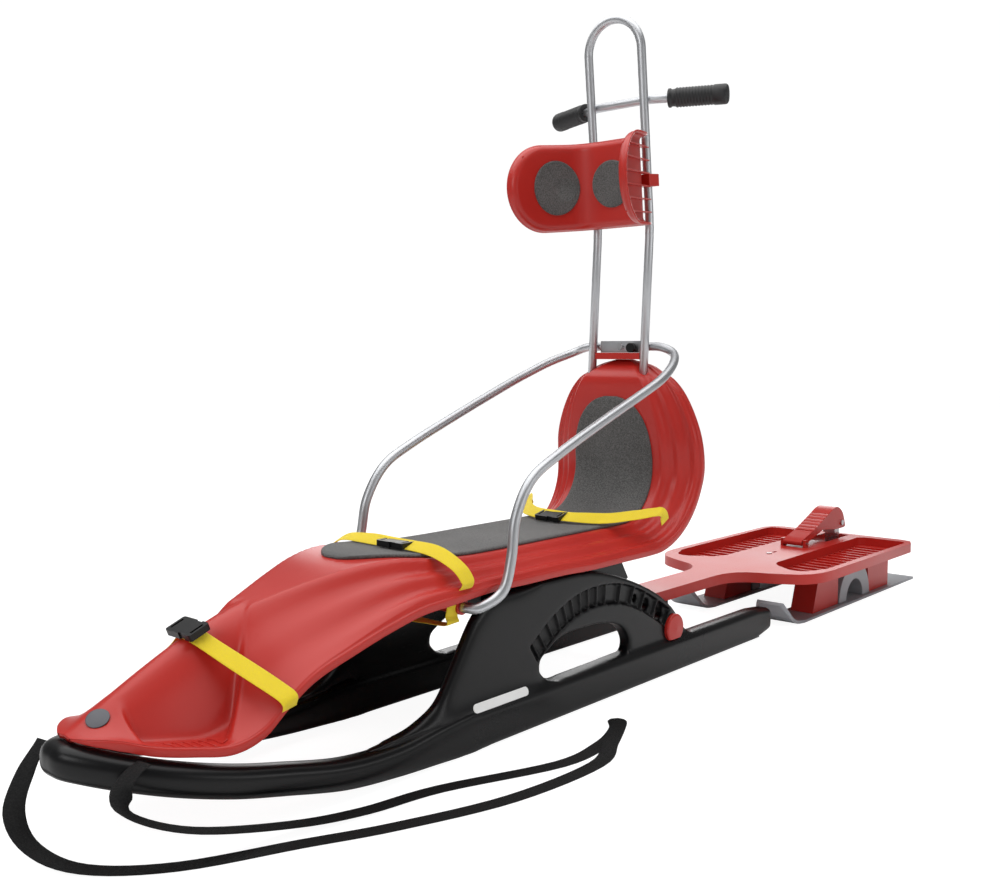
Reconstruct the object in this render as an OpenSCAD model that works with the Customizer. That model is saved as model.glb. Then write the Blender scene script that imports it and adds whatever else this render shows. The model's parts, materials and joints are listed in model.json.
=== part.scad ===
// Steerable snow sled with a moulded seat, push bar, head support and a towed stand-on brake board.
// Millimetres. X is the sled's left, Y points to the rear, Z is up and the floor is at z = 0.

/* [Runners] */
// Distance between the centre lines of the two runners
track = 252; // [240:1:270]
// Width of a runner bar
runner_w = 40; // [36:1:46]
// Height of a runner bar behind the struts
runner_h = 64; // [56:1:72]
// Rear end of the runners
runner_end = 368; // [350:1:372]
// Thickness of the side walls
wall_t = 26; // [20:1:30]
// Thickness of the glide strips under the runners
glide_t = 2.4; // [2:0.2:4]
// Diameter of the round bow bar
bow_d = 42; // [38:1:46]
// Diameter of the red end discs
cap_d = 54; // [46:1:58]

/* [Seat] */
// Half width of the seat shell along the thighs
seat_half = 150; // [145:1:156]
// Height of the seat deck above the floor
seat_z = 282; // [278:1:290]
// Wall of the moulded shell
shell_t = 5; // [4:0.5:6]
// Height of the flange round the shell
flange_h = 12; // [8:1:16]
// Radius of the bend between seat and backrest
bend_r = 95; // [85:1:105]
// Half width of the backrest
back_half = 167; // [160:1:170]
// Top of the backrest above the floor
back_top = 578; // [565:1:590]
// Thickness of the foam pad
pad_t = 5; // [4:0.5:8]
// Half width of the foam pad
pad_half = 88; // [80:1:90]
// Width of the belts
belt_w = 25; // [20:1:30]
// Thickness of the belts
belt_t = 1.6; // [1.2:0.1:2]

/* [Push bar] */
// Diameter of the bent tubes
tube_d = 16; // [14:0.5:18]
// Distance between the two tubes of the push bar
bar_gap = 118; // [110:1:124]
// Top of the push bar above the floor
bar_top = 1205; // [1180:1:1230]
// Height of the handlebar below the top of the push bar
handle_drop = 155; // [135:1:165]
// Length of a handlebar grip
grip_l = 122; // [110:1:130]
// Diameter of a handlebar grip
grip_d = 36; // [32:1:40]
// Sweep of the handlebar towards the rear, in degrees
sweep = 22; // [0:1:30]
// Half width of the side hoops
hoop_half = 162; // [159:1:168]
// Lean of the push bar's upper run towards the front, in degrees
bar_lean = 6; // [0:0.5:10]
// Lean of its lower run towards the rear, in degrees
bar_back = 3.4; // [0:0.2:6]

/* [Head support] */
// Height of the head support's middle below the top of the push bar
head_drop = 301; // [290:1:315]
// Height of its wings
head_h = 162; // [150:1:170]
// Wall of its moulding
head_t = 5; // [4:0.5:7]
// Depth of its rim
head_rim = 14; // [10:1:16]
// Diameter of a head pad
head_pad_d = 100; // [80:1:110]

/* [Stand-on board] */
// Width of the board
board_w = 400; // [380:1:420]
// Rear edge of the board
board_end = 1020; // [1000:1:1030]
// Top of the board above the floor
board_z = 118; // [112:1:124]
// Depth of the footwells
well_d = 22; // [16:1:24]
// Width of a footwell
well_w = 122; // [110:1:126]
// Width of the tongue
tongue_w = 74; // [64:1:78]
// Width of a ski
ski_w = 80; // [70:1:90]
// Thickness of a ski
ski_t = 6; // [5:0.5:8]
// Rear end of the skis
ski_end = 1130; // [1125:1:1135]
// Diameter of the kingpin of the hitch
kingpin_d = 10; // [8:0.5:12]
// Running clearance on the hitch's pins
pin_gap = 0.4; // [0.2:0.1:0.8]

/* [Hidden] */
$fn = 48;
runner_x = track / 2;
wall_out = runner_x + 9;
wall_in = wall_out - wall_t;
tube_r = tube_d / 2;
bar_x = bar_gap / 2;
seat_gap = 0.3;

// Places along the sled
rod_y = -4;
rod_z = 83;
rod_r = 8;
bow_end = -560;
kingpin_y = 46;
tongue_z0 = 96;

// Colours
black = [0.04, 0.04, 0.045];
red = [0.75, 0.10, 0.07];
alu = [0.75, 0.76, 0.78];
foam = [0.27, 0.27, 0.27];
yellow = [0.95, 0.80, 0.05];
grey = [0.55, 0.56, 0.58];

// Curves and sweeps

function unit(v) = v / norm(v);
function mix(a, b, t) = a + (b - a) * t;

// Point at t between b and c on a smooth curve through a, b, c and d
function curve_at(a, b, c, d, t) =
    0.5 * (2 * b + (c - a) * t + (2 * a - 5 * b + 4 * c - d) * t * t + (3 * b - a - 3 * c + d) * t * t * t);

// Smooth open curve through the points p, with n steps a span
function smooth(p, n) = let (m = len(p) - 1) [
    for (i = [0 : m - 1], k = [0 : n - 1])
        curve_at(p[max(i - 1, 0)], p[i], p[i + 1], p[min(i + 2, m)], k / n),
    p[m]];

// Arc of radius r round c in the plane, from angle a0 to a1
function arc(c, r, a0, a1, n = 8) = [for (i = [0 : n]) let (a = mix(a0, a1, i / n)) c + r * [cos(a), sin(a)]];

// Closed surface through a list of rings, each with the same even number of points. Its ends are strips
// from the first half of a ring to the second, so a ring may be a thin curved section.
module skin(rings) {
    n = len(rings[0]);
    m = len(rings);
    points = [for (r = rings, p = r) p];
    sides = [for (i = [0 : m - 2], j = [0 : n - 1]) let (k = (j + 1) % n)
        each [[i * n + j, i * n + k, (i + 1) * n + k], [i * n + j, (i + 1) * n + k, (i + 1) * n + j]]];
    ends = [for (j = [0 : n / 2 - 2]) let (k = n - 1 - j, e = (m - 1) * n)
        each [[j, k, k - 1], [j, k - 1, j + 1], [e + j, e + k - 1, e + k], [e + j, e + j + 1, e + k - 1]]];
    polyhedron(points, concat(sides, ends), convexity = 10);
}

// Directions along a path
function along(p, i) = unit(p[min(i + 1, len(p) - 1)] - p[max(i - 1, 0)]);

// Frames that don't twist along a path: [side, up] at each point
function frames(p, up, i = 0, out = []) = i == len(p) ? out :
    let (t = along(p, i), u0 = i == 0 ? up : out[i - 1][1], s = unit(cross(t, u0)), u = cross(s, t))
    frames(p, up, i + 1, concat(out, [[s, u]]));

// Round tube of radius r along a path
module tube(path, r, sides = 12, up = [0, 0, 1]) {
    f = frames(path, up);
    skin([for (i = [0 : len(path) - 1]) [for (k = [0 : sides - 1]) let (a = -360 * k / sides)
        path[i] + r * (cos(a) * f[i][0] + sin(a) * f[i][1])]]);
}

// Flat band of width w and thickness t along a path, its width lying along the vectors wide
module band(path, wide, w, t) {
    skin([for (i = [0 : len(path) - 1])
        let (a = along(path, i), s = unit(wide[i] - (wide[i] * a) * a), u = cross(s, a))
        [path[i] - s * w / 2 - u * t / 2, path[i] - s * w / 2 + u * t / 2,
         path[i] + s * w / 2 + u * t / 2, path[i] + s * w / 2 - u * t / 2]]);
}

// Plate with its outline in the Y-Z plane, from x0 to x1
module side_plate(outline, x0, x1) {
    translate([x0, 0, 0]) rotate([90, 0, 90]) linear_extrude(x1 - x0) polygon(outline);
}

// Cylinder along X, from x0 to x1
module x_rod(x0, x1, y, z, r) {
    translate([x0, y, z]) rotate([0, 90, 0]) cylinder(h = x1 - x0, r = r);
}

// Runner with its side wall and grip arch

// Side outline of the wall above the runner bar, in Y and Z
wall_outline = concat(
    smooth([[-662, 57.4], [-642, 68], [-611, 92], [-580, 136], [-540, 196], [-505, 226]], 4),
    smooth([[-480, 228], [-347, 229], [-266, 227], [-215, 218], [-166, 203], [-105, 180],
            [-40, 148], [8, 112], [30, 84], [60, 64], [90, 60]], 3),
    [[90, 30], [bow_end + 1, 30], [bow_end + 1, runner_h + 0.4], [-620, 60.6]]);

// Window under the arch
window_outline = concat(
    smooth([[-386, 106], [-333, 130], [-262, 134], [-200, 128], [-160, 112], [-140, 84], [-146, 66]], 4),
    [[-346, 62]],
    smooth([[-372, 70], [-388, 86], [-386, 106]], 3));

// Middle line of the channel in the arch, from its front to its rear end
channel_line = smooth([[-405, 116], [-340, 158], [-266, 180], [-178, 176], [-110, 154], [-56, 126], [-22, 106]], 5);
channel_w = 34;
channel_d = 9;

function line_normal(p, i) = let (d = unit(p[min(i + 1, len(p) - 1)] - p[max(i - 1, 0)])) [-d[1], d[0]];
function line_band(p, w) = concat(
    [for (i = [0 : len(p) - 1]) p[i] + line_normal(p, i) * w / 2],
    [for (i = [len(p) - 1 : -1 : 0]) p[i] - line_normal(p, i) * w / 2]);

// Point on the channel's middle line at a share s of its points
function channel_at(s) = let (k = s * (len(channel_line) - 1), i = min(floor(k), len(channel_line) - 2))
    mix(channel_line[i], channel_line[i + 1], k - i);

// Ribs across the channel: share of its length and thickness
rib_shares = concat([for (i = [0 : 9]) 0.03 + i * 0.045], [0.52, 0.61, 0.70, 0.82]);

// Round through holes in the arch: share of the channel's length and radius
arch_holes = [[0.655, 7], [0.755, 11], [0.90, 15]];

module channel_rib(s) {
    p = channel_at(s);
    q = channel_at(min(s + 0.01, 1));
    a = atan2(q[1] - p[1], q[0] - p[0]);
    translate([wall_out - channel_d, p[0], p[1]]) rotate([a, 0, 0])
        translate([0, -1.5, -channel_w / 2 - 1]) cube([channel_d - 1, 3, channel_w + 2]);
}

module runner_bar() {
    r = runner_w / 2;
    difference() {
        union() {
            hull() for (x = [-1, 1], z = [r - 7, runner_h - r + 7])
                translate([runner_x + x * 7, bow_end, z]) rotate([-90, 0, 0]) cylinder(h = 860, r = r - 7, $fn = 32);
            hull() for (x = [-1, 1], z = [r - 7, runner_h - r + 7])
                translate([runner_x + x * 7, bow_end + 860, z]) {
                    rotate([-90, 0, 0]) cylinder(h = 1, r = r - 7, $fn = 32);
                    translate([0, runner_end - bow_end - 860 - (r - 7), z > r ? -6 : 10]) sphere(r - 7, $fn = 24);
                }
        }
        translate([0, -700, -10]) cube([300, 1200, 10 + glide_t]);
    }
}

module runner() {
    difference() {
        union() {
            runner_bar();
            side_plate(wall_outline, wall_in, wall_out);
        }
        side_plate(window_outline, wall_in - 5, wall_out + 30);
        side_plate(line_band(channel_line, channel_w), wall_out - channel_d, wall_out + 1);
        for (h = arch_holes) let (p = channel_at(h[0])) x_rod(wall_in - 5, wall_out + 5, p[0], p[1], h[1]);
        x_rod(wall_in - 5, wall_in + 12, rod_y, rod_z, rod_r + seat_gap);
    }
    intersection() {
        for (s = rib_shares) channel_rib(s);
        side_plate(line_band(channel_line, channel_w + 1), wall_out - channel_d, wall_out);
    }
}

module runner_left() color(black) runner();
module runner_right() color(black) mirror([1, 0, 0]) runner();

// Bow that joins the runners, as x, y, z of its centre line on the left side and its height
bow_half = [
    [runner_x, bow_end, 32, 64], [runner_x, -620, 31, 58], [runner_x, -700, 29, 47], [runner_x - 1, -790, 36, 43],
    [runner_x - 8, -880, 54, bow_d], [runner_x - 18, -950, 69, bow_d], [runner_x - 38, -1015, 86, bow_d],
    [runner_x - 68, -1068, 102, bow_d], [22, -1103, 113, bow_d], [0, -1109, 115, bow_d]];
bow_line = smooth(concat(bow_half, [for (i = [len(bow_half) - 2 : -1 : 0])
    [-bow_half[i][0], bow_half[i][1], bow_half[i][2], bow_half[i][3]]]), 3);

// The bow along the points p of its line, larger by grow all round; square at the runners and rounder in front
module bow_skin(p, grow = 0) {
    q = [for (b = p) [b[0], b[1], b[2]]];
    skin([for (i = [0 : len(p) - 1])
        let (s = unit(cross(along(q, i), [0, 0, 1])), w = runner_w / 2 + grow, h = p[i][3] / 2 + grow,
             e = mix(0.8, 0.5, (p[i][3] - bow_d) / (64 - bow_d)))
        [for (k = [0 : 15]) let (a = -360 * k / 16, c = cos(a), d = sin(a))
            q[i] + s * w * sign(c) * pow(abs(c), e) + [0, 0, 1] * h * sign(d) * pow(abs(d), e)]]);
}

module bow() {
    color(black) difference() {
        bow_skin(bow_line);
        translate([-300, -700, -10]) cube([600, 200, 10 + glide_t]);
    }
}

module glide() {
    translate([runner_x - 9, -585, 0]) cube([18, 915, glide_t]);
}
module glide_left() color(grey) glide();
module glide_right() color(grey) mirror([1, 0, 0]) glide();

// Disc that closes the arch's rear end, flat where it meets the runner bar
module cap() {
    difference() {
        translate([wall_out, rod_y, rod_z]) rotate([0, 90, 0]) rotate_extrude() polygon(concat(
            [[0, 0], [cap_d / 2, 0]], arc([cap_d / 2 - 4, 4], 4, 0, 80, 5), [[0, 10]]));
        translate([wall_out - 1, rod_y - cap_d, 0]) cube([20, 2 * cap_d, runner_h + seat_gap]);
    }
}
module cap_left() color(red) cap();
module cap_right() color(red) mirror([1, 0, 0]) cap();

module hitch_rod() {
    color(grey) x_rod(-wall_in - 12, wall_in + 12, rod_y, rod_z, rod_r);
}

// Deck between the side walls that carries the seat
saddle_top = seat_z - shell_t - seat_gap;
saddle_y0 = -500;
module saddle() {
    w = wall_in - seat_gap;
    slope = 0.85;
    shoulder = saddle_top - (w - 84) * slope;
    color(black) difference() {
        intersection() {
            translate([-w, 0, 0]) rotate([90, 0, 90]) linear_extrude(2 * w) polygon([
                [saddle_y0, 196], [saddle_y0, saddle_top - 26], [-470, saddle_top], [-190, saddle_top],
                [-140, saddle_top - 40], [-110, 190], [-150, 170], [-180, 196]]);
            rotate([90, 0, 0]) linear_extrude(1200, center = true) polygon([
                [-w, 100], [w, 100], [w, shoulder], [84, saddle_top], [-84, saddle_top], [-w, shoulder]]);
        }
        translate([-w + 6, saddle_y0 + 10, 150]) cube([2 * w - 12, 330, saddle_top - 150 - 26]);
    }
}

// Seat shell

// Sections of the shell: y and z of its middle, tilt, half width, depth of the rim below the middle,
// and the blend from the nose's hump (0) to the seat's flat deck (1)
deck = seat_z;
nose_sections = [
    [-1106, 144, 0, 16, 2, 0], [-1094, 150, 0, 40, 8, 0], [-1072, 162, 0, 64, 24, 0], [-1040, 179, 0, 88, 55, 0],
    [-1000, 200, 0, 107, 88, 0], [-955, 222, 0, 122, 120, 0], [-915, 238, 0, 130, 124, 0.02],
    [-880, 250, 0, 135, 102, 0.08], [-840, 262, 0, 139, 84, 0.2], [-780, 279, 0, 144, 76, 0.45],
    [-720, 292, 0, 147, 68, 0.72], [-660, 297, 0, 149, 58, 0.9], [-600, 292, 0, 150, 48, 1],
    [-520, 284, 0, 150, 35, 1]];
seat_sections = [for (y = [-440 : 85 : -100]) [y, deck, 0, seat_half, y < -300 ? 34 : 37, 1]];
bend_y = -100;
bend_z = deck + bend_r;
bend_sections = [for (a = [18 : 18 : 90]) [bend_y + bend_r * sin(a), bend_z - bend_r * cos(a), a,
    mix(seat_half, back_half, a / 90), mix(37, 42, a / 90), 1]];
back_y = bend_y + bend_r;
back_sections = [
    [back_y - 4, 425, 93, back_half - 3, 42, 1], [back_y - 8, 470, 94, back_half - 17, 43, 1],
    [back_y - 11, 510, 94, back_half - 38, 44, 1], [back_y - 12, 538, 92, back_half - 62, 44, 1],
    [back_y - 4, back_top - 26, 90, back_half - 84, 36, 1], [back_y + 14, back_top - 12, 90, back_half - 110, 18, 1],
    [back_y + 28, back_top - 2, 90, back_half - 148, 4, 1]];
sections = smooth(concat(nose_sections, seat_sections, bend_sections, back_sections), 2);

// Shares of the half width, and of the rim's depth there on the hump and on the deck
columns = [
    [0.00, 0.00, 0.00], [0.12, 0.04, 0.00], [0.28, 0.22, 0.00], [0.45, 0.60, 0.00], [0.60, 0.90, 0.00],
    [0.68, 1.00, 0.14], [0.77, 1.04, 0.48], [0.86, 1.02, 0.72], [0.93, 0.90, 0.80], [1.00, 0.86, 1.00]];

// Point of the shell: x across, depth d below the middle of section s
function shell_point(s, x, d) = [x, s[0] + d * sin(s[2]), s[1] - d * cos(s[2])];
function shell_depth(s, c) = s[4] * mix(c[1], c[2], s[5]);

function shell_ring(s) = let (m = len(columns) - 1, w = s[3], t = min(shell_t, w / 3), rim = shell_depth(s, columns[m]),
        low = rim + flange_h * min(1, w / 64))
    concat(
        [shell_point(s, -w, low)],
        [for (i = [m : -1 : 1]) shell_point(s, -w * columns[i][0], shell_depth(s, columns[i]))],
        [for (i = [0 : m]) shell_point(s, w * columns[i][0], shell_depth(s, columns[i]))],
        [shell_point(s, w, low), shell_point(s, w - t, low)],
        [for (i = [m : -1 : 0]) shell_point(s, (w - t) * columns[i][0], shell_depth(s, columns[i]) + t)],
        [for (i = [1 : m]) shell_point(s, -(w - t) * columns[i][0], shell_depth(s, columns[i]) + t)],
        [shell_point(s, -(w - t), low)]);

module seat_shell() {
    color(red) difference() {
        skin([for (s = sections) shell_ring(s)]);
        for (x = [-bar_x, bar_x]) translate([x, bar_y(socket_z), socket_z]) rotate([-bar_back, 0, 0])
            cylinder(h = 140, r = tube_r + seat_gap);
    }
}

// Foam pad that follows the deck from the knees to the backrest
pad_front = -705;
pad_top = 510;
pad_sections = [for (s = sections) if (s[0] > pad_front && s[1] < pad_top && s[5] > 0.7) s];

// Half width of the pad at section number i of n
function pad_width(i, n) = let (a = min(1, (i + 0.35) / 5), b = min(1, (n - 1 - i + 0.35) / 5.5))
    pad_half * sqrt(1 - pow(1 - a, 2)) * sqrt(1 - pow(1 - b, 2.2));

module seat_pad() {
    n = len(pad_sections);
    color(foam) skin([for (i = [0 : n - 1]) let (s = pad_sections[i], w = pad_width(i, n))
        concat([for (k = [-4 : 4]) shell_point(s, w * k / 4, -seat_gap - pad_t)],
               [for (k = [4 : -1 : -4]) shell_point(s, w * k / 4, -seat_gap)])]);
}

// Belts and buckles

foot_y = -935;
foot_half = [[137.2, -884, 150], [139.8, -886, 163], [120, -894, 176], [60, -917, 206.5], [14, foot_y + 1, 229.7]];
foot_line = concat(foot_half, [[0, foot_y, 231.9]], [for (k = [4 : -1 : 0]) let (p = foot_half[k]) [-p[0], p[1], p[2]]]);
thigh_y = -575;
thigh_line = [[-153, thigh_y, 228], [-155, thigh_y, 252], [-140, thigh_y - 6, 274], [-100, thigh_y - 12, 297],
              [-50, thigh_y - 16, 299.4], [0, thigh_y - 18, 299.4], [50, thigh_y - 16, 299.4], [100, thigh_y - 12, 297],
              [140, thigh_y - 6, 274], [155, thigh_y, 252], [153, thigh_y, 228]];
slack_line = [[153, thigh_y, 227], [150, thigh_y - 3, 206], [120, thigh_y - 5, 196], [40, thigh_y, 190],
              [-40, thigh_y, 190], [-120, thigh_y - 5, 196], [-150, thigh_y - 3, 206], [-153, thigh_y, 227]];
hip_line = [[-156, -66, 290], [-153, -78, 308], [-125, -112, 300], [-90, -150, 292], [-45, -176, 292], [0, -182, 292],
            [45, -176, 292], [90, -150, 292], [125, -112, 300], [153, -78, 308], [156, -66, 290]];

module belt(line, wide) {
    path = smooth(line, 2);
    color(yellow) band(path, [for (p = path) wide], belt_w, belt_t);
}
module belt_foot() belt(foot_line, [0, 1, 0.4]);
module belt_thigh() belt(thigh_line, [0, 1, 0]);
module belt_thigh_slack() belt(slack_line, [0, 1, 0]);
module belt_hip() belt(hip_line, [0, 1, 0.25]);

// Side-release buckle centred at the origin, its length along X
module buckle() {
    color(black) difference() {
        hull() for (x = [-1, 1], y = [-1, 1]) translate([x * 24, y * 12, 0]) cylinder(h = 9, r = 4, $fn = 24);
        for (x = [-1, 1]) translate([x * 22 - 2, -10, -1]) cube([4, 20, 11]);
        for (y = [-1, 1]) translate([2, y * 17 - 3, -1]) cube([12, 6, 11]);
    }
}
module buckle_foot() translate([0, foot_y - 0.5, 233.1]) rotate([21.8, 0, 0]) buckle();
module buckle_thigh() translate([22, thigh_y - 18, 300.6]) buckle();
module buckle_hip() translate([-8, -182.3, 293.4]) rotate([14, 0, -3]) buckle();

// Push bar, hoops and handlebar

bar_top_z = bar_top - bar_x - tube_r;
bar_top_y = -13;
bar_kink = bar_lean + bar_back;
bar_run = 320;
handle_z = bar_top - handle_drop;
head_z = bar_top - head_drop;
bar_kink_y = bar_top_y + bar_run * sin(bar_lean);
bar_kink_z = bar_top_z - bar_run * cos(bar_lean);
socket_z = 470;

// How far back the push bar's tubes lie at height z
function bar_y(z) = z > bar_kink_z ? bar_top_y + (bar_top_z - z) * tan(bar_lean)
                                   : bar_kink_y - (bar_kink_z - z) * tan(bar_back);

// Line of the push bar: up its left tube, round the top and down the right one
bar_side = concat([[bar_x, bar_y(socket_z), socket_z]],
    [for (t = [-1 : 0.25 : 1]) let (z = bar_kink_z + t * 20, k = (1 - t * t) * 20 * tan(bar_kink) / 4)
        [bar_x, bar_y(z) - k, z]]);
bar_top_line = [for (a = arc([0, 0], bar_x, 0, 180, 20))
    [a[0], bar_top_y - a[1] * sin(bar_lean), bar_top_z + a[1] * cos(bar_lean)]];
bar_line = concat(bar_side, bar_top_line,
    [for (i = [len(bar_side) - 1 : -1 : 0]) [-bar_side[i][0], bar_side[i][1], bar_side[i][2]]]);

module push_bar() color(alu) tube(bar_line, tube_r, 16, [0, 1, 0]);

// Left side hoop from its socket under the seat to the clamp behind the backrest
clamp_z = 600;
clamp_half = 48;
clamp_h = 22;
hoop_y = bar_y(clamp_z + clamp_h / 2) + tube_d + seat_gap;
socket_y = -560;
socket_bar_z = 219;
socket_half = 127;
hoop_line = smooth([[116, socket_y, socket_bar_z], [126, socket_y, socket_bar_z], [136, socket_y, socket_bar_z],
    [152, socket_y + 12, socket_bar_z + 1], [hoop_half + 3, socket_y + 46, 240], [hoop_half + 4, -496, 288], [hoop_half + 2, -484, 345], [hoop_half, -446, 398],
    [hoop_half, -380, 432], [hoop_half, -260, 479], [hoop_half, -130, 527], [hoop_half - 5, -75, 548],
    [hoop_half - 20, -24, 570], [hoop_half - 46, hoop_y - 8, 588], [hoop_half - 78, hoop_y, clamp_z - 1],
    [clamp_half, hoop_y, clamp_z]], 3);

module hoop_left() color(alu) tube(hoop_line, tube_r, 12);
module hoop_right() color(alu) mirror([1, 0, 0]) tube(hoop_line, tube_r, 12);

// Red tube under the seat that takes the feet of the hoops
module hoop_socket() {
    color(red) {
        difference() {
            x_rod(-socket_half, socket_half, socket_y, socket_bar_z, tube_r + 4);
            x_rod(-socket_half - 1, -115, socket_y, socket_bar_z, tube_r + seat_gap);
            x_rod(115, socket_half + 1, socket_y, socket_bar_z, tube_r + seat_gap);
        }
        for (x = [-70, 70]) translate([x - 4, socket_y + 4, socket_bar_z - 8])
            cube([8, saddle_y0 - socket_y - 4 - seat_gap, 28]);
    }
}

// Clamp that joins the hoops and the push bar
clamp_front = hoop_y - tube_r;
module clamp_plate() {
    color(alu) difference() {
        translate([-clamp_half, clamp_front, clamp_z - clamp_h / 2]) cube([2 * clamp_half, tube_d, clamp_h]);
        translate([-clamp_half - 1, clamp_front + 4, clamp_z - clamp_h / 2 + 3])
            cube([2 * clamp_half + 2, tube_d, clamp_h - 6]);
    }
}
module clamp_bolt() {
    color(grey) translate([0, clamp_front, clamp_z]) rotate([90, 0, 0]) cylinder(h = 5, r = 6);
}
module clamp_knob() {
    color(black) translate([30, clamp_front, clamp_z - 2]) rotate([90, 0, 0]) {
        cylinder(h = 6, r = 5);
        translate([0, 0, 6]) cylinder(h = 9, r = 9);
    }
}
module back_bar() {
    w = bar_gap - tube_d - 2 * seat_gap;
    z0 = back_top - 2 + seat_gap;
    color(red) translate([-w / 2, bar_y(clamp_z) - 5, z0]) cube([w, 22, clamp_z - clamp_h / 2 - seat_gap - z0]);
}

// Handlebar behind the push bar
handle_y = bar_y(handle_z) + tube_d - 0.7;
handle_half = 50;
handle_bend_r = 30;
handle_free = 20;
grip_start = handle_half + handle_free;

// Frame at the start of the left swept part, its Z along the tube
module handle_frame() {
    translate([handle_half, handle_y + handle_bend_r, handle_z]) rotate([0, 0, sweep])
        translate([0, -handle_bend_r, 0]) rotate([0, 90, 0]) children();
}
handle_bend = arc([handle_half, handle_y + handle_bend_r], handle_bend_r, -90, sweep - 90, 5);
handle_side = concat([for (a = handle_bend) [a[0], a[1], handle_z]],
    [[handle_bend[5][0] + (handle_free + grip_l - 6) * cos(sweep),
      handle_bend[5][1] + (handle_free + grip_l - 6) * sin(sweep), handle_z]]);
module handlebar() color(alu) tube(concat(
    [for (i = [len(handle_side) - 1 : -1 : 0]) [-handle_side[i][0], handle_side[i][1], handle_side[i][2]]],
    handle_side), tube_r, 16);
module grip() {
    g = grip_d / 2;
    handle_frame() translate([0, 0, handle_free]) rotate_extrude() polygon(concat(
        [[tube_r, 0], [g + 2, 0], [g + 2, 5], [g, 8], [g, grip_l - 12]],
        arc([g - 8, grip_l - 8], 8, 0, 90, 6), [[0, grip_l], [0, grip_l - 6], [tube_r, grip_l - 6]]));
}
module grip_left() color(black) grip();
module grip_right() color(black) mirror([1, 0, 0]) grip();

// Head support, drawn upright round the bar's middle plane and leant with the bar.
// Plan of its face on the left side, from the middle to the wing's tip
head_face = -tube_r - 8 - head_rim;
head_plan = smooth([[0, head_face], [42, head_face - 1], [68, head_face - 12], [82, head_face - 38],
                    [98, head_face - 88], [114, head_face - 140]], 3);
head_full = concat([for (i = [len(head_plan) - 1 : -1 : 1]) [-head_plan[i][0], head_plan[i][1]]], head_plan);
head_n = len(head_full) - 1;

// Plan of the head support between a and b behind its face
module head_band(a, b) polygon(concat(
    [for (i = [0 : head_n]) head_full[i] + line_normal(head_full, i) * a],
    [for (i = [head_n : -1 : 0]) head_full[i] + line_normal(head_full, i) * b]));

// Side outline of its wings, smaller by s all round
head_round = 62;
module head_outline(s) {
    y0 = head_plan[len(head_plan) - 1][1] - 6 + s;
    h = head_h / 2 - s;
    rotate([90, 0, 90]) linear_extrude(500, center = true) polygon(concat([[20, -h], [20, h]],
        arc([y0 + head_round, h - head_round], head_round, 90, 180, 8),
        arc([y0 + head_round, head_round - h], head_round, 180, 270, 8)));
}

module bar_seat(z) {
    translate([0, bar_y(z), z]) rotate([bar_lean, 0, 0]) children();
}

rib_n = 6;
rib_t = 3;
module head_support() {
    pitch = head_h / (rib_n + 1);
    color(red) bar_seat(head_z) difference() {
        intersection() {
            linear_extrude(head_h, center = true) head_band(0, head_rim);
            head_outline(0);
        }
        intersection() {
            for (k = [0 : rib_n]) translate([0, 0, -head_h / 2 + k * pitch + rib_t / 2])
                linear_extrude(pitch - rib_t) head_band(head_t, head_rim + 1);
            head_outline(head_t);
        }
    }
}

// Round pad of diameter d that follows the face, its middle at point i of the plan
function face_at(k, out) = let (i = min(floor(k), head_n - 1), t = k - i)
    mix(head_full[i] + line_normal(head_full, i) * out, head_full[i + 1] + line_normal(head_full, i + 1) * out, t);
module head_pad(i, d) {
    stations = [for (k = [0 : 0.25 : head_n]) if (norm(face_at(k, 0) - face_at(i, 0)) < d / 2 - 0.5) k];
    color(foam) bar_seat(head_z) skin([for (k = stations)
        let (a = face_at(k, -seat_gap - 3), b = face_at(k, -seat_gap), e = norm(face_at(k, 0) - face_at(i, 0)),
             h = sqrt(d * d / 4 - e * e))
        [[a[0], a[1], -h], [b[0], b[1], -h], [b[0], b[1], h], [a[0], a[1], h]]]);
}
pad_i = round(head_n * 0.79);
module head_pad_left() head_pad(pad_i, head_pad_d);
module head_pad_right() head_pad(head_n - pad_i, head_pad_d);
module head_pad_centre() head_pad(head_n / 2, head_pad_d - 14);

module head_clamp() {
    color(red) bar_seat(head_z) difference() {
        translate([-bar_x - 15, -tube_r - 8, -11]) cube([bar_gap + 30, tube_d + 16, 22]);
        for (x = [-bar_x, bar_x]) translate([x, 0, -20]) cylinder(h = 40, r = tube_r + pin_gap);
        translate([-bar_x + 16, -tube_r, -20]) cube([bar_gap - 32, 60, 40]);
    }
}

// Towed board

tongue_r = tongue_w / 2;
board_plan = concat(
    [[0, kingpin_y - tongue_r], [tongue_r * 0.5, kingpin_y - tongue_r * 0.87], [tongue_r * 0.87, kingpin_y - tongue_r * 0.5]],
    [[tongue_r, kingpin_y]],
    smooth([[tongue_r, 300], [tongue_r + 6, 352], [tongue_r + 32, 392], [128, 420], [172, 448],
            [194, 490], [board_w / 2, 540]], 4),
    [[board_w / 2, board_end - 40], [board_w / 2 - 14, board_end - 8], [board_w / 2 - 40, board_end], [0, board_end]]);

module both_sides() {
    children();
    mirror([1, 0, 0]) children();
}

floor_t = 5;
floor_z = board_z - well_d;
edge_w = 15;
well_x = board_w / 2 - edge_w - well_w / 2;
well_y0 = 470;
well_y1 = board_end - 28;
leg_w = 54;
ski_x = 112;
rib_gap = 31;
riser_y = 787;
riser_r = 85;
board_under = floor_z - floor_t;

// Plan of a footwell, smaller by s all round
module well_plan(s = 0) {
    hull() {
        translate([well_x + 14, well_y0 + 36]) circle(30 - s);
        translate([well_x, well_y0 + 80]) circle(well_w / 2 - 2 - s);
        for (x = [-1, 1]) translate([well_x + x * (well_w / 2 - 20), well_y1 - 20]) circle(20 - s);
    }
}

// Slot plan along Y
module slot_y(x, y0, y1, w) {
    hull() for (y = [y0 + w / 2, y1 - w / 2]) translate([x, y]) circle(w / 2);
}

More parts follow.
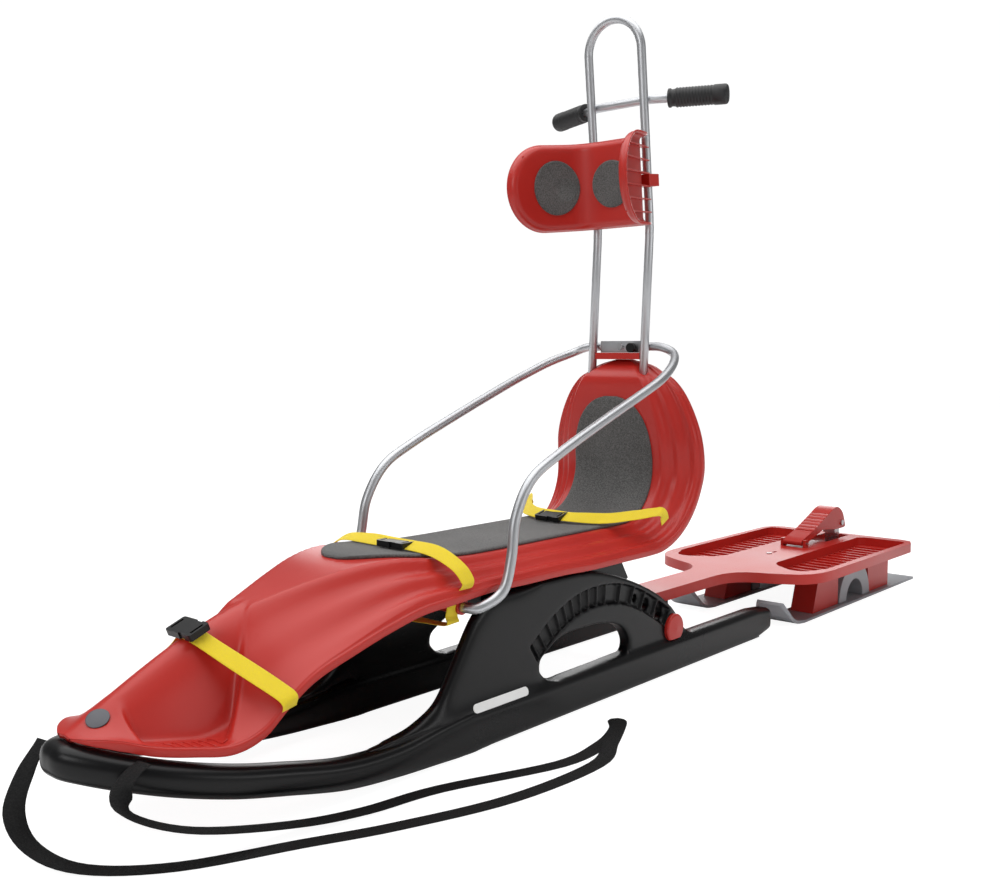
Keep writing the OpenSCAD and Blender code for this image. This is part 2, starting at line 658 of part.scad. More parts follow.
// Leg between the board and a ski, from y0 to y1, its ends sloped by s
module board_leg(y0, y1, s) {
    translate([ski_x - leg_w / 2, 0, 0]) rotate([90, 0, 90]) linear_extrude(leg_w)
        polygon([[y0 + s, ski_t], [y1, ski_t], [y1, board_under + 1], [y0, board_under + 1]]);
}

pedal_w = 48;
pedal_y0 = 743;
pedal_y1 = 996;
pedal_h = 76;
pedal_pin_y = pedal_y0 + 14;
pedal_pin_z = board_z + 9;
pin_r = 3;
key_w = pedal_w + 12;
claw_y = pedal_y0 + 205;

// Screw in the board's spine, and how deep its head and the kingpin's head are sunk
screw_y = 627;
screw_r = 6;
head_sink = 1.5;

module board() {
    color(red) difference() {
        union() {
            difference() {
                both_sides() translate([0, 0, tongue_z0]) linear_extrude(board_z - tongue_z0) polygon(board_plan);
                both_sides() translate([0, 0, floor_z]) linear_extrude(40) well_plan();
            }
            both_sides() {
                translate([0, 0, board_under]) linear_extrude(tongue_z0 - board_under + 1) difference() {
                    well_plan(-5);
                }
                for (k = [0 : 13]) translate([well_x - well_w / 2 + 7, well_y0 + 76 + k * rib_gap, floor_z - 1])
                    cube([well_w - 14, 5, 6]);
                board_leg(600, 700, -30);
                board_leg(riser_y + riser_r - 8, well_y1, 12);
            }
            for (x = [-1, 1]) translate([x * (pedal_w / 2 + 5) - 3, pedal_pin_y - 10, board_z - 1]) cube([6, 20, 19]);
        }
        translate([0, kingpin_y, 0]) cylinder(h = 200, r = kingpin_d / 2 + pin_gap);
        translate([0, kingpin_y, board_z - head_sink]) cylinder(h = 20, r = kingpin_d + 0.5);
        translate([0, screw_y, board_z - head_sink]) cylinder(h = 20, r = screw_r + seat_gap);
        translate([0, 0, 50]) linear_extrude(100) slot_y(0, 644, 662, 8);
        translate([0, 0, 50]) linear_extrude(100) translate([-key_w / 2, 870]) square([key_w, pedal_y1 + 8 - 870]);
        x_rod(-60, 60, pedal_pin_y, pedal_pin_z, pin_r + seat_gap);
    }
}

// Half-round riser between a ski and the board
module riser() {
    difference() {
        intersection() {
            x_rod(ski_x - 30, ski_x + 30, riser_y, ski_t, riser_r);
            translate([0, riser_y - 100, ski_t]) cube([300, 200, board_under - ski_t - seat_gap]);
        }
        x_rod(ski_x - 31, ski_x + 31, riser_y, ski_t, 46);
    }
}
module riser_left() color(grey) riser();
module riser_right() color(grey) mirror([1, 0, 0]) riser();

module board_screw() {
    color(grey) translate([0, screw_y, board_z - head_sink]) cylinder(h = 3, r = screw_r);
}

module ski() {
    tip = smooth([[505, 0], [470, 4], [445, 15], [425, 34], [416, 50]], 3);
    difference() {
        translate([ski_x - ski_w / 2, 0, 0]) rotate([90, 0, 90]) linear_extrude(ski_w)
            polygon(concat([[ski_end, 0], [ski_end, ski_t - seat_gap], [505, ski_t - seat_gap]],
                [for (i = [1 : len(tip) - 1]) tip[i] + [4, ski_t]], [for (i = [len(tip) - 1 : -1 : 0]) tip[i]]));
        for (x = [-1, 1]) translate([ski_x + x * 22 - 4, 520, -1]) cube([8, ski_end - 530, 3]);
        translate([ski_x, 0, -1]) linear_extrude(80) difference() {
            translate([-ski_w, 380]) square([2 * ski_w, 70]);
            hull() {
                translate([-ski_w / 2, 449]) square([ski_w, 2]);
                for (x = [-1, 1]) translate([x * (ski_w / 2 - 22), 416 + 22]) circle(22);
            }
        }
    }
}
module ski_left() color(grey) ski();
module ski_right() color(grey) mirror([1, 0, 0]) ski();

// Yoke on the frame's rod and the kingpin that the tongue turns on
yoke_top = tongue_z0 - pin_gap;
yoke_h = 10;
module hitch_yoke() {
    color(red) difference() {
        union() {
            x_rod(-24, 24, rod_y, rod_z, yoke_top - rod_z);
            translate([-24, rod_y, yoke_top - yoke_h]) cube([48, kingpin_y - rod_y, yoke_h]);
            translate([0, kingpin_y, yoke_top - yoke_h]) cylinder(h = yoke_h, r = 24);
        }
        x_rod(-30, 30, rod_y, rod_z, rod_r + pin_gap);
        translate([0, kingpin_y, 0]) cylinder(h = 200, r = kingpin_d / 2 + seat_gap);
    }
}
module kingpin() {
    color(grey) translate([0, kingpin_y, 0]) {
        translate([0, 0, yoke_top - yoke_h - 6]) cylinder(h = board_z - head_sink + 7 - yoke_top + yoke_h, d = kingpin_d);
        translate([0, 0, board_z - head_sink + pin_gap]) cylinder(h = 4, r = kingpin_d);
        translate([0, 0, yoke_top - yoke_h - 6]) cylinder(h = 6 - seat_gap, r = kingpin_d);
    }
}

// Stand-on brake pedal, hinged at its front on a pin
pedal_side = concat(
    [[pedal_y0 + 4, board_z + 4]],
    smooth([[pedal_y0, board_z + 10], [pedal_y0 + 8, board_z + 18], [pedal_y0 + 70, board_z + 36],
            [pedal_y0 + 150, board_z + 66], [pedal_y0 + 178, board_z + pedal_h], [pedal_y0 + 205, board_z + pedal_h + 2],
            [pedal_y0 + 232, board_z + 62], [pedal_y1 - 6, board_z + 34], [pedal_y1 - 4, board_z + 24]], 3),
    [[pedal_y1 - 14, board_z + 22], [claw_y - 8, board_z + 22], [pedal_y0 + 120, board_z + 30],
     [pedal_y0 + 24, board_z + 5]]);
module brake_pedal() {
    color(red) difference() {
        translate([-pedal_w / 2, 0, 0]) rotate([90, 0, 90]) linear_extrude(pedal_w) polygon(pedal_side);
        for (k = [0 : 6]) let (t = k / 6)
            translate([-pedal_w, pedal_y0 + 60 + t * 86, board_z + 32.5 + t * 33]) cube([2 * pedal_w, 5, 8]);
        x_rod(-60, 60, pedal_pin_y, pedal_pin_z, pin_r + pin_gap);
    }
}
module pedal_pin() {
    color(grey) x_rod(-pedal_w / 2 - 11, pedal_w / 2 + 11, pedal_pin_y, pedal_pin_z, pin_r);
}
// Steel claw that the pedal presses down through the cut-out
module brake_claw() {
    color(grey) difference() {
        translate([-16, claw_y, 0]) rotate([90, 0, 90]) linear_extrude(32)
            polygon([[0, board_z + 22 - seat_gap], [26, board_z + 22 - seat_gap], [26, 60], [18, 46], [12, 60],
                     [12, board_z + 10], [0, board_z + 10]]);
        for (x = [-1, 1]) translate([x * 8 - 3, claw_y - 15, 40]) cube([6, 60, 30]);
    }
}
module pedal_rivet() {
    color(grey) translate([pedal_w / 2 + seat_gap, pedal_y1 - 26, board_z + 36]) rotate([0, 90, 0]) cylinder(h = 3, r = 7);
}

// Tow strap on the floor, sewn to the bow at both ends
strap_w = 25;
strap_t = 1.6;
strap_spread = track / 252;
strap_points = [[92, -1057, 119], [95, -1077, 111], [103, -1094, 95], [116, -1086, 70], [140, -1020, 40],
    [162, -900, 14], [180, -800, 4], [198, -681, 1.4], [264, -503, 1.2], [262, -400, 1.2], [240, -330, 1.2], [217, -300, 1.2], [230, -308, 3.2],
    [272, -390, 3.6], [304, -470, 1.2], [292, -640, 1.2], [240, -800, 1.2], [189, -911, 1.2], [130, -1040, 1.2],
    [60, -1118, 4], [0, -1148, 20], [-40, -1150, 52], [-66, -1122, 88], [-72, -1096, 118]];
strap_line = [for (p = strap_points) [p[0] * strap_spread, p[1], p[2]]];

module tow_strap() {
    path = smooth(strap_line, 3);
    color(black) band(path, [for (i = [0 : len(path) - 1]) cross(along(path, i), [0, 0, 1]) + [0, 0, 0.001]], strap_w, strap_t);
}

runner_left();
runner_right();
bow();
glide_left();
glide_right();
cap_left();
cap_right();
hitch_rod();
saddle();
seat_shell();
seat_pad();
belt_foot();
belt_thigh();
belt_thigh_slack();
belt_hip();
buckle_foot();
buckle_thigh();
buckle_hip();
push_bar();
hoop_left();
hoop_right();
hoop_socket();
clamp_plate();
clamp_bolt();
clamp_knob();
back_bar();
handlebar();
grip_left();
grip_right();
head_support();
head_pad_left();
head_pad_centre();
head_pad_right();
head_clamp();
tow_strap();
hitch_yoke();
kingpin();
board();
ski_left();
ski_right();
riser_left();
riser_right();
board_screw();
brake_pedal();
pedal_pin();
brake_claw();
pedal_rivet();
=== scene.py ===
# %% [markdown]
# # A snow sled, dressed in Blender
# The rigid frame comes ready from the construction model. Here it gets its finishes, and the soft or
# finely rounded pieces (seat shell, runners, pads, belts, tubes, grips, strap) are made again in detail.

# %% Load the frame
import json
import math

import bmesh
import bpy
import numpy as np
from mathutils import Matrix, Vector
from mathutils.bvhtree import BVHTree


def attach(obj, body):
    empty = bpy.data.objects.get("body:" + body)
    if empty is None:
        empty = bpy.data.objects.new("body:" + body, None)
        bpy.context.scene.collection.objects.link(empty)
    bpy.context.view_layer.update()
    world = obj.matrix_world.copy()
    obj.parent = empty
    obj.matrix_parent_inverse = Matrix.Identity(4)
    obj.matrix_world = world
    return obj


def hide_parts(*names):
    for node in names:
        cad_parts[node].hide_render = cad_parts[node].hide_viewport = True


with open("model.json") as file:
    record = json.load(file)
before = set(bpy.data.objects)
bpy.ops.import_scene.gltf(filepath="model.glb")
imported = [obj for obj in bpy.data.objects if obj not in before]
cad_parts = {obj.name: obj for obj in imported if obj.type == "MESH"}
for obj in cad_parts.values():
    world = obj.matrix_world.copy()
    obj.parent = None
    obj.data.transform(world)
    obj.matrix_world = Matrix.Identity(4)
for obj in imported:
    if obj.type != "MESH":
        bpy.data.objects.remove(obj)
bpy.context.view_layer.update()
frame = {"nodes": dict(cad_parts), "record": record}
nodes = frame["nodes"]

# %% [markdown]
# The camera stands at the sled's left front corner, 0.59 m up. Its place, turn and lens were fitted to the
# straight edges of the runners, the tubes and the hoops, so no guess by eye is left in it.

# %% Camera
scene = bpy.context.scene
cam = bpy.data.objects.new("camera", bpy.data.cameras.new("camera"))
scene.collection.objects.link(cam)
cam.location = (1.2114, -1.7124, 0.590)
cam.rotation_euler = [math.radians(a) for a in (85.297, 0, 41.281)]
cam.data.sensor_width = 36
cam.data.lens = 39.6
scene.camera = cam
print("camera", tuple(cam.location), "lens", cam.data.lens)

# %% [markdown]
# Tube bends, the seat's side and the strap all run as smooth curves. A Catmull-Rom curve passes through
# each given point, so it can repeat a solid's own line.

# %% Smooth lines
def smooth(points, n):
    """Smooth open curve through points, n steps a span."""
    p = np.asarray(points, float)
    out = []
    for i in range(len(p) - 1):
        a, b, c, d = p[max(i - 1, 0)], p[i], p[i + 1], p[min(i + 2, len(p) - 1)]
        for t in np.arange(n) / n:
            out.append(0.5 * (2 * b + (c - a) * t + (2 * a - 5 * b + 4 * c - d) * t ** 2
                              + (3 * b - a - 3 * c + d) * t ** 3))
    return np.array(out + [p[-1]])

def unit(v):
    return v / np.linalg.norm(v)

def tangent(path, i):
    return unit(path[min(i + 1, len(path) - 1)] - path[max(i - 1, 0)])

print("points on a line through three:", len(smooth([[0, 0], [1, 1], [2, 0]], 8)))

# %% [markdown]
# Most shapes below are a stack of closed rows of points. Faces between the rows make the skin, and one
# flat face closes each end. With small functions for these steps, only the shape itself is left to say.

# %% Meshes from rows of points
def mesh_object(name, verts, faces, uvs=None):
    me = bpy.data.meshes.new(name)
    me.from_pydata([tuple(map(float, v)) for v in verts], [], [tuple(map(int, f)) for f in faces])
    if uvs is not None:
        layer = me.uv_layers.new(name="UVMap")
        for loop in me.loops:
            layer.data[loop.index].uv = uvs[loop.vertex_index]
    me.polygons.foreach_set("use_smooth", [True] * len(me.polygons))
    me.update()
    obj = bpy.data.objects.new(name, me)
    scene.collection.objects.link(obj)
    return obj

def skin(rows, m):
    """Faces between rows of m points, each row closed on itself."""
    return [(i * m + j, i * m + (j + 1) % m, (i + 1) * m + (j + 1) % m, (i + 1) * m + j)
            for i in range(rows - 1) for j in range(m)]

def ends(rows, m):
    """The flat faces on the first and the last row."""
    return [tuple(range(m - 1, -1, -1)), tuple((rows - 1) * m + j for j in range(m))]

def loft(rings):
    return [p for r in rings for p in r], skin(len(rings), len(rings[0]))

print("faces of a closed box from two rows:", len(skin(2, 4) + ends(2, 4)))

# %% [markdown]
# Tube, webbing and bead are each one section carried along a line. The sweep keeps its frame from
# twisting, and writes UVs in metres (along, around), so that a weave or a brushed grain follows the piece
# wherever it bends. The UV folds back halfway round, which leaves no seam.

# %% Sweep
def sweep(name, path, section, up=(0, 0, 1), wide=None):
    """Closed section [(side, up), ...] in metres along path. wide fixes the side direction at each point."""
    path = np.asarray(path, float)
    m = len(section)
    around = np.cumsum([0] + [math.dist(section[k], section[(k + 1) % m]) for k in range(m)])
    u = np.asarray(up, float)
    verts = []
    uvs = []
    run = 0.0
    for i, point in enumerate(path):
        t = tangent(path, i)
        if wide is None:
            s = unit(np.cross(t, u))
        else:
            w = np.asarray(wide[i], float)
            s = unit(w - w.dot(t) * t)
        u = np.cross(s, t)
        run += np.linalg.norm(point - path[i - 1]) if i else 0
        for j, (a, b) in enumerate(section):
            verts.append(point + s * a + u * b)
            uvs.append((run, min(around[j], around[-1] - around[j])))
    return mesh_object(name, verts, skin(len(path), m) + ends(len(path), m), uvs)

def circle(r, n):
    return [(r * math.cos(2 * math.pi * k / n), r * math.sin(2 * math.pi * k / n)) for k in range(n)]

def webbing_section(w, t):
    """Woven band: slightly crowned, with soft selvedges."""
    xs = [-0.5, -0.47, -0.4, -0.2, 0, 0.2, 0.4, 0.47, 0.5]
    ys = [0.1, 0.38, 0.46, 0.49, 0.5, 0.49, 0.46, 0.38, 0.1]
    return [(x * w, -y * t) for x, y in zip(xs, ys)] + [(x * w, y * t) for x, y in zip(xs[::-1], ys)]

print("points round the webbing:", len(webbing_section(1, 1)))

# %% [markdown]
# The tow strap is flat webbing, sewn into a loop on the bow's two sides. It is 25 mm wide and lies on the
# floor on its flat side, with the same route as its solid.

# %% Tow strap
STRAP_W = 0.025
STRAP_T = 0.0016
strap_line = [
    [92, -1057, 119], [95, -1077, 111], [103, -1094, 95], [116, -1086, 70], [140, -1020, 40],
    [162, -900, 14], [180, -800, 4], [198, -681, 1.4], [264, -503, 1.2], [262, -400, 1.2],
    [240, -330, 1.2], [217, -300, 1.2], [230, -308, 3.2], [272, -390, 3.6], [304, -470, 1.2],
    [292, -640, 1.2], [240, -800, 1.2], [189, -911, 1.2], [130, -1040, 1.2], [60, -1118, 4],
    [0, -1148, 20], [-40, -1150, 52], [-66, -1122, 88], [-72, -1096, 118]]
strap_path = smooth(strap_line, 6) / 1000
flat_side = [np.cross(tangent(strap_path, i), (0, 0, 1)) + (0, 0, 1e-6) for i in range(len(strap_path))]
strap = sweep("tow_strap_webbing", strap_path, webbing_section(STRAP_W, STRAP_T), wide=flat_side)
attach(strap, "sled")
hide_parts("tow_strap")

# %% [markdown]
# Shader maths reads best as plain expressions. This small class wraps one socket: `+`, `-` and `*` add
# Math nodes for numbers and Vector Math nodes for vectors, `mix` blends two colours, and `node` makes any
# other node from its type, its settings and the values of its sockets (`_0` is the first input).

# %% Sockets as expressions
class Sock:
    def __init__(self, tree, out):
        self.tree = tree
        self.out = out

    def node(self, kind, settings=None, out=0, **sockets):
        n = self.tree.nodes.new(kind)
        for k, v in (settings or {}).items():
            setattr(n, k, v)
        for k, v in sockets.items():
            name = k.strip("_").replace("_", " ")
            s = n.inputs[int(name)] if name.isdigit() else n.inputs[name]
            if isinstance(v, Sock):
                self.tree.links.new(v.out, s)
            else:
                s.default_value = v
        return Sock(self.tree, n.outputs[out])

    def _math(self, op, a, b):
        vector = isinstance(b, tuple) or any(isinstance(v, Sock) and v.out.type == "VECTOR" for v in (a, b))
        if vector and op == "MULTIPLY" and isinstance(b, (int, float)):
            b = (b, b, b)
        kind = "ShaderNodeVectorMath" if vector else "ShaderNodeMath"
        return self.node(kind, {"operation": op}, _0=a, _1=b)

    def __add__(self, other):
        return self._math("ADD", self, other)

    def __radd__(self, other):
        return self._math("ADD", other, self)

    def __sub__(self, other):
        return self._math("SUBTRACT", self, other)

    def __rsub__(self, other):
        return self._math("SUBTRACT", other, self)

    def __mul__(self, other):
        return self._math("MULTIPLY", self, other)

    def __rmul__(self, other):
        return self._math("MULTIPLY", self, other)

    def sin(self):
        return self.node("ShaderNodeMath", {"operation": "SINE"}, _0=self)

    def step(self, lo, hi, a=0.0, b=1.0):
        """Soft step from a, at lo, to b, at hi."""
        return self.node("ShaderNodeMapRange", {"interpolation_type": "SMOOTHSTEP"}, Value=self,
                         From_Min=lo, From_Max=hi, To_Min=a, To_Max=b)

    def mix(self, a, b):
        return self.node("ShaderNodeMix", {"data_type": "RGBA"}, out=2, _0=self, _6=a, _7=b)

    def noise(self, scale, detail=2.0, rough=0.5):
        return self.node("ShaderNodeTexNoise", Vector=self, Scale=scale, Detail=detail, Roughness=rough)

    def part(self, i):
        return self.node("ShaderNodeSeparateXYZ", out=i, Vector=self)

print("socket wrapper:", [k for k in Sock.__dict__ if not k.startswith("_")])

# %% [markdown]
# A material is then a recipe: from the position and the UV it works out what varies over the surface. What
# is the same all over, such as the index of refraction, goes on the shader's own socket.

# %% Materials from recipes
def rgba(c):
    return (*c, 1.0)

def material(name, recipe, **shader):
    """recipe(position, uv) returns {socket: Sock} and perhaps "height": (Sock, distance)."""
    mat = bpy.data.materials.new(name)
    mat.use_nodes = True
    tree = mat.node_tree
    bsdf = next(n for n in tree.nodes if n.type == "BSDF_PRINCIPLED")
    coord = tree.nodes.new("ShaderNodeTexCoord")
    made = recipe(Sock(tree, coord.outputs["Object"]), Sock(tree, coord.outputs["UV"]))
    for k, v in shader.items():
        bsdf.inputs[k.replace("_", " ")].default_value = v
    height = made.pop("height", None)
    if height:
        bump = height[0].node("ShaderNodeBump", Height=height[0], Distance=height[1], Strength=1.0)
        tree.links.new(bump.out, bsdf.inputs["Normal"])
    for k, v in made.items():
        tree.links.new(v.out, bsdf.inputs[k])
    print("material", name, "with", len(tree.nodes), "nodes")
    return mat

# %% [markdown]
# Moulded plastic is never one flat colour: the skin varies a little in gloss, carries a very fine grain,
# and shows hair scratches. The red parts are a glossy moulding, the black frame is darker and a little
# smoother, and the skis are a duller grey.

# %% Plastics
def moulded(colour, deep, rough, grain, depth):
    def recipe(pos, uv):
        cloud = pos.noise(3.5, 3.0)
        fine = pos.noise(grain, 3.0, 0.6)
        worn = (pos * (90.0, 9.0, 60.0)).noise(6.0, 2.0).step(0.66, 0.74)
        gloss = cloud.step(0.25, 0.75, rough - 0.04, rough + 0.05)
        return {"Base Color": cloud.step(0.3, 0.7).mix(rgba(deep), rgba(colour)),
                "Roughness": gloss + worn * 0.06 + fine * 0.03,
                "height": (fine + worn * -0.3, depth)}
    return recipe

red_plastic = material("red_moulded", IOR=1.45, recipe=moulded(
    (0.47, 0.022, 0.015), (0.41, 0.017, 0.012), 0.30, 900.0, 0.00005))
black_plastic = material("black_satin_moulded", IOR=1.36, recipe=moulded(
    (0.0035, 0.0035, 0.004), (0.002, 0.002, 0.0025), 0.27, 700.0, 0.00005))
grey_plastic = material("grey_ski_plastic", IOR=1.48, recipe=moulded(
    (0.30, 0.31, 0.33), (0.24, 0.25, 0.27), 0.36, 600.0, 0.00008))
small_black = material("black_buckle", IOR=1.4, recipe=moulded(
    (0.005, 0.005, 0.0055), (0.003, 0.003, 0.0035), 0.34, 1500.0, 0.00004))

# %% [markdown]
# Drawn aluminium tube has fine lines along its length. On a swept tube the UV runs along it, so a noise
# squeezed in that direction gives the brushed grain. The small steel parts are plainly mottled.

# %% Metals
def drawn(colour, rough):
    def recipe(pos, uv):
        lines = (uv * (6.0, 420.0, 1.0)).noise(1.0, 3.0, 0.6)
        cloud = pos.noise(14.0, 2.0)
        return {"Base Color": lines.mix(rgba([c * 0.82 for c in colour]), rgba(colour)),
                "Roughness": lines.step(0.3, 0.7, rough - 0.05, rough + 0.08) + cloud * 0.05}
    return recipe

def plain_steel(pos, uv):
    cloud = pos.noise(60.0, 3.0)
    return {"Base Color": cloud.mix(rgba((0.42, 0.42, 0.43)), rgba((0.62, 0.62, 0.63))),
            "Roughness": cloud.step(0.3, 0.7, 0.22, 0.38),
            "height": (cloud, 0.00004)}

tube_metal = material("drawn_aluminium", drawn((0.60, 0.61, 0.63), 0.38), Metallic=1.0)
steel = material("bright_steel", plain_steel, Metallic=1.0)

# %% [markdown]
# Webbing is a plain weave: thick ribs across the band, each crossed by fine yarns along it. Two sine waves
# on the UV give the weave its relief, and the colour is made darker in that relief's hollows, which is
# painted shade. A noise also shifts the yarns' colour a little, as real yarns vary.

# %% Webbing
RIB_PITCH = 0.0016
YARN_PITCH = 0.0011

def woven(colour, deep):
    def recipe(pos, uv):
        rib = (uv.part(0) * (2 * math.pi / RIB_PITCH)).sin()
        yarn = (uv.part(1) * (2 * math.pi / YARN_PITCH) + rib * 1.2).sin()
        weave = rib * 0.5 + yarn * 0.5
        fuzz = pos.noise(500.0, 2.0)
        # Painted shade: the colour goes darker where the weave's relief is low. The noise adds real yarn
        # tone.
        return {"Base Color": (weave * 0.35 + fuzz * 0.8).step(-0.2, 0.9).mix(rgba(deep), rgba(colour)),
                "Roughness": fuzz.step(0.2, 0.8, 0.62, 0.85),
                "height": (weave + fuzz * 0.4, 0.00022)}
    return recipe

# The second colour of each webbing is its painted shade in the weave's hollows, and also its darker yarns.
yellow_web = material("yellow_webbing", woven((0.90, 0.70, 0.008), (0.78, 0.56, 0.005)), Sheen_Weight=0.15)
black_web = material("black_webbing", woven((0.0045, 0.0045, 0.005), (0.002, 0.002, 0.002)),
                     Specular_IOR_Level=0.3)

# %% [markdown]
# The foam has small pores and light specks, and the grip's rubber is matt with a fine grain. The two bare
# plates get plain paint.

# %% Foam, rubber and paint
def foam_skin(pos, uv):
    pore = pos.node("ShaderNodeTexVoronoi", Vector=pos, Scale=700.0)
    speck = pos.noise(420.0, 3.0, 0.7)
    cloud = pos.noise(9.0, 2.0)
    tone = (speck * 0.8 + cloud * 0.2).step(0.38, 0.64)
    return {"Base Color": tone.mix(rgba((0.045, 0.044, 0.043)), rgba((0.12, 0.118, 0.115))),
            "Roughness": speck.step(0.2, 0.8, 0.75, 0.95),
            "height": (pore + speck * 0.7, 0.00035)}

def grip_skin(pos, uv):
    speck = pos.noise(900.0, 2.0)
    return {"Base Color": speck.mix(rgba((0.006, 0.006, 0.007)), rgba((0.018, 0.018, 0.019))),
            "Roughness": speck.step(0.2, 0.8, 0.42, 0.6),
            "height": (speck, 0.0001)}

def painted_plate(colour, rough):
    def recipe(pos, uv):
        cloud = pos.noise(40.0, 2.0)
        return {"Base Color": cloud.mix(rgba([c * 0.95 for c in colour]), rgba(colour)),
                "Roughness": cloud.step(0.2, 0.8, rough, rough + 0.1)}
    return recipe

foam = material("closed_cell_foam", foam_skin, Sheen_Weight=0.15)
grip_rubber = material("grip_rubber", grip_skin)
white_label = material("bare_white_label", painted_plate((0.90, 0.90, 0.89), 0.3))
badge_metal = material("bare_badge", painted_plate((0.09, 0.09, 0.10), 0.34), Metallic=0.5)

# %% [markdown]
# Parts whose solids are already right only need their finish. A moulded edge is never knife sharp, so the
# larger ones get a small rounding. Their corners come split, so they are joined first.

# %% Dress the carried-over nodes
finish_of = {
    "red_plastic": red_plastic, "black_plastic": black_plastic, "grey_plastic": grey_plastic,
    "steel": steel, "aluminium": tube_metal, "grey_foam": foam, "black_small": small_black,
    "grip_rubber": grip_rubber, "yellow_webbing": yellow_web, "black_webbing": black_web}

for sub in frame["record"]["subparts"]:
    node = nodes[sub["node"]]
    finish = finish_of[sub["material_slot"]]
    for s in node.material_slots:
        s.material = finish
    if not node.material_slots:
        node.data.materials.append(finish)

EDGE = 0.0012
for name in ("board", "ski_left", "ski_right", "riser_left", "riser_right", "brake_pedal", "head_clamp",
             "saddle", "hitch_yoke", "clamp_plate"):
    node = nodes[name]
    join = node.modifiers.new("join", "WELD")
    join.merge_threshold = 0.000002
    edge = node.modifiers.new("round", "BEVEL")
    edge.width = EDGE
    edge.segments = 3
    edge.limit_method = "ANGLE"
    edge.angle_limit = math.radians(30)
    edge.harden_normals = True
    edge.miter_outer = "MITER_ARC"
    node.data.polygons.foreach_set("use_smooth", [True] * len(node.data.polygons))
    if node.data.has_custom_normals:
        node.data.attributes.remove(node.data.attributes["custom_normal"])

# %% [markdown]
# Every made piece gets a material and the body that it moves with, and the node that it stands for, if any,
# is hidden.

# %% Place a piece
def place(obj, body, mat, node=None):
    obj.data.materials.append(mat)
    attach(obj, body)
    if node:
        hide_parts(node)
    return obj

strap.data.materials.append(black_web)
print("placed:", strap.name)

# %% [markdown]
# The bow is blow-moulded: a fat, even bar that turns from the runners' upright section into a round one.
# It is lofted along the same line as its solid, with a fine ring, so the highlight runs round unbroken.
# Its ends are a little slimmer and stay inside the runners' skin.

# %% Bow
RUNNER_X = 126
RUNNER_W = 40
RUNNER_H = 64
BOW_D = 42
BOW_END = -560
BOW_SIDES = 48
GLIDE_T = 2.4
# X, Y, Z of the middle and the height
bow_half = [
    [RUNNER_X, -500, 32, 62], [RUNNER_X, -530, 32, 63.6], [RUNNER_X, BOW_END, 32, 64.8],
    [RUNNER_X, -620, 31, 58], [RUNNER_X, -700, 29, 47], [RUNNER_X - 1, -790, 36, 43],
    [RUNNER_X - 8, -880, 54, BOW_D], [RUNNER_X - 18, -950, 69, BOW_D], [RUNNER_X - 38, -1015, 86, BOW_D],
    [RUNNER_X - 68, -1068, 102, BOW_D], [22, -1103, 113, BOW_D], [0, -1109, 115, BOW_D]]
bow_line = smooth(bow_half + [[-x, y, z, h] for x, y, z, h in bow_half[-2::-1]], 9)

def bow_ring(i):
    x, y, z, h = bow_line[i]
    side = unit(np.cross(tangent(bow_line[:, :3], i), (0, 0, 1)))
    squareness = 0.8 - 0.36 * (h - BOW_D) / (RUNNER_H - BOW_D)
    half = RUNNER_W / 2 + np.interp(y, (-700, -560, -530, -500), (0, 0.4, 0, -1.2))
    ring = []
    for a in -np.linspace(0, 2 * math.pi, BOW_SIDES + 1)[:-1]:
        c = math.cos(a)
        d = math.sin(a)
        p = np.array([x, y, z]) + side * half * np.sign(c) * abs(c) ** squareness
        p[2] += h / 2 * np.sign(d) * abs(d) ** squareness
        if y > -700:
            p[2] = max(p[2], GLIDE_T)
        ring.append(p / 1000)
    return ring

verts, faces = loft([bow_ring(i) for i in range(len(bow_line))])
bow = mesh_object("bow_moulding", verts, faces + ends(len(bow_line), BOW_SIDES))
place(bow, "sled", black_plastic, "bow")
print("bow rings:", len(bow_line))

# %% [markdown]
# The runners are blow-moulded too, so nothing on them has a sharp edge: wall, strut and bar flow into each
# other. Two lofted fillers give the flow its bulk: a fillet between the strut's foot and the bar, and the
# foot itself, drawn out forward along the bow's top.

# %% Fillers for the runner
def fillet_rings():
    """Y, height of the top and outer X of the fillet."""
    rows = ((-700, 56, 132), (-670, 66, 136), (-640, 78, 140), (-600, 92, 143), (-540, 104, 143.5),
            (-480, 106, 143.5), (-430, 100, 143), (-400, 88, 142), (-385, 76, 141), (-360, 64, 140))
    return [[np.array(q) / 1000 for q in (
        (120, y, 40), (120, y, top), (131, y, top), (132.5, y, top * 0.72 + 17),
        (136, y, top * 0.42 + 34), (out, y, 58.5), (out, y, 40))] for y, top, out in rows]

def foot_rings():
    """Y, top, bottom and half width of the strut's foot."""
    rows = ((-610, 90, 40, 11), (-640, 74, 40, 11), (-670, 65, 38, 11), (-700, 59, 36, 10), (-730, 56, 36, 8),
            (-765, 53.5, 38, 5))
    mid = 124
    return [[np.array(q) / 1000 for q in (
        (mid - w, y, low), (mid - w, y, top), (mid + w, y, top), (mid + w, y, low))]
        for y, top, low, w in rows]

print("filler rings:", len(fillet_rings()), len(foot_rings()))

# %% [markdown]
# A voxel remesh welds the solid and its fillers into one skin, as blowing does. Then each point moves
# again and again to the mean of its neighbours, which rounds edges. The pull is strong on the strut and
# weak on the ribbed channel and the bar, so those keep their shape.

# %% Blown skin
VOXEL = 0.0024
PULL = 0.6
ROUNDS = 14
STRUT_ROUNDS = 110
CHANNEL = smooth([[-405, 116], [-340, 158], [-266, 180], [-178, 176], [-110, 154], [-56, 126], [-22, 106]], 8)

def spread(co, edges, weight, rounds):
    """Each point moves to the mean of its neighbours, by PULL times its weight."""
    n = len(co)
    a = edges[:, 0]
    b = edges[:, 1]
    degree = np.bincount(edges.ravel(), minlength=n)
    for k in range(rounds):
        for axis in range(3):
            c = co[:, axis]
            total = np.bincount(a, weights=c[b], minlength=n) + np.bincount(b, weights=c[a], minlength=n)
            co[:, axis] += (total / degree - c) * PULL * weight
    return co

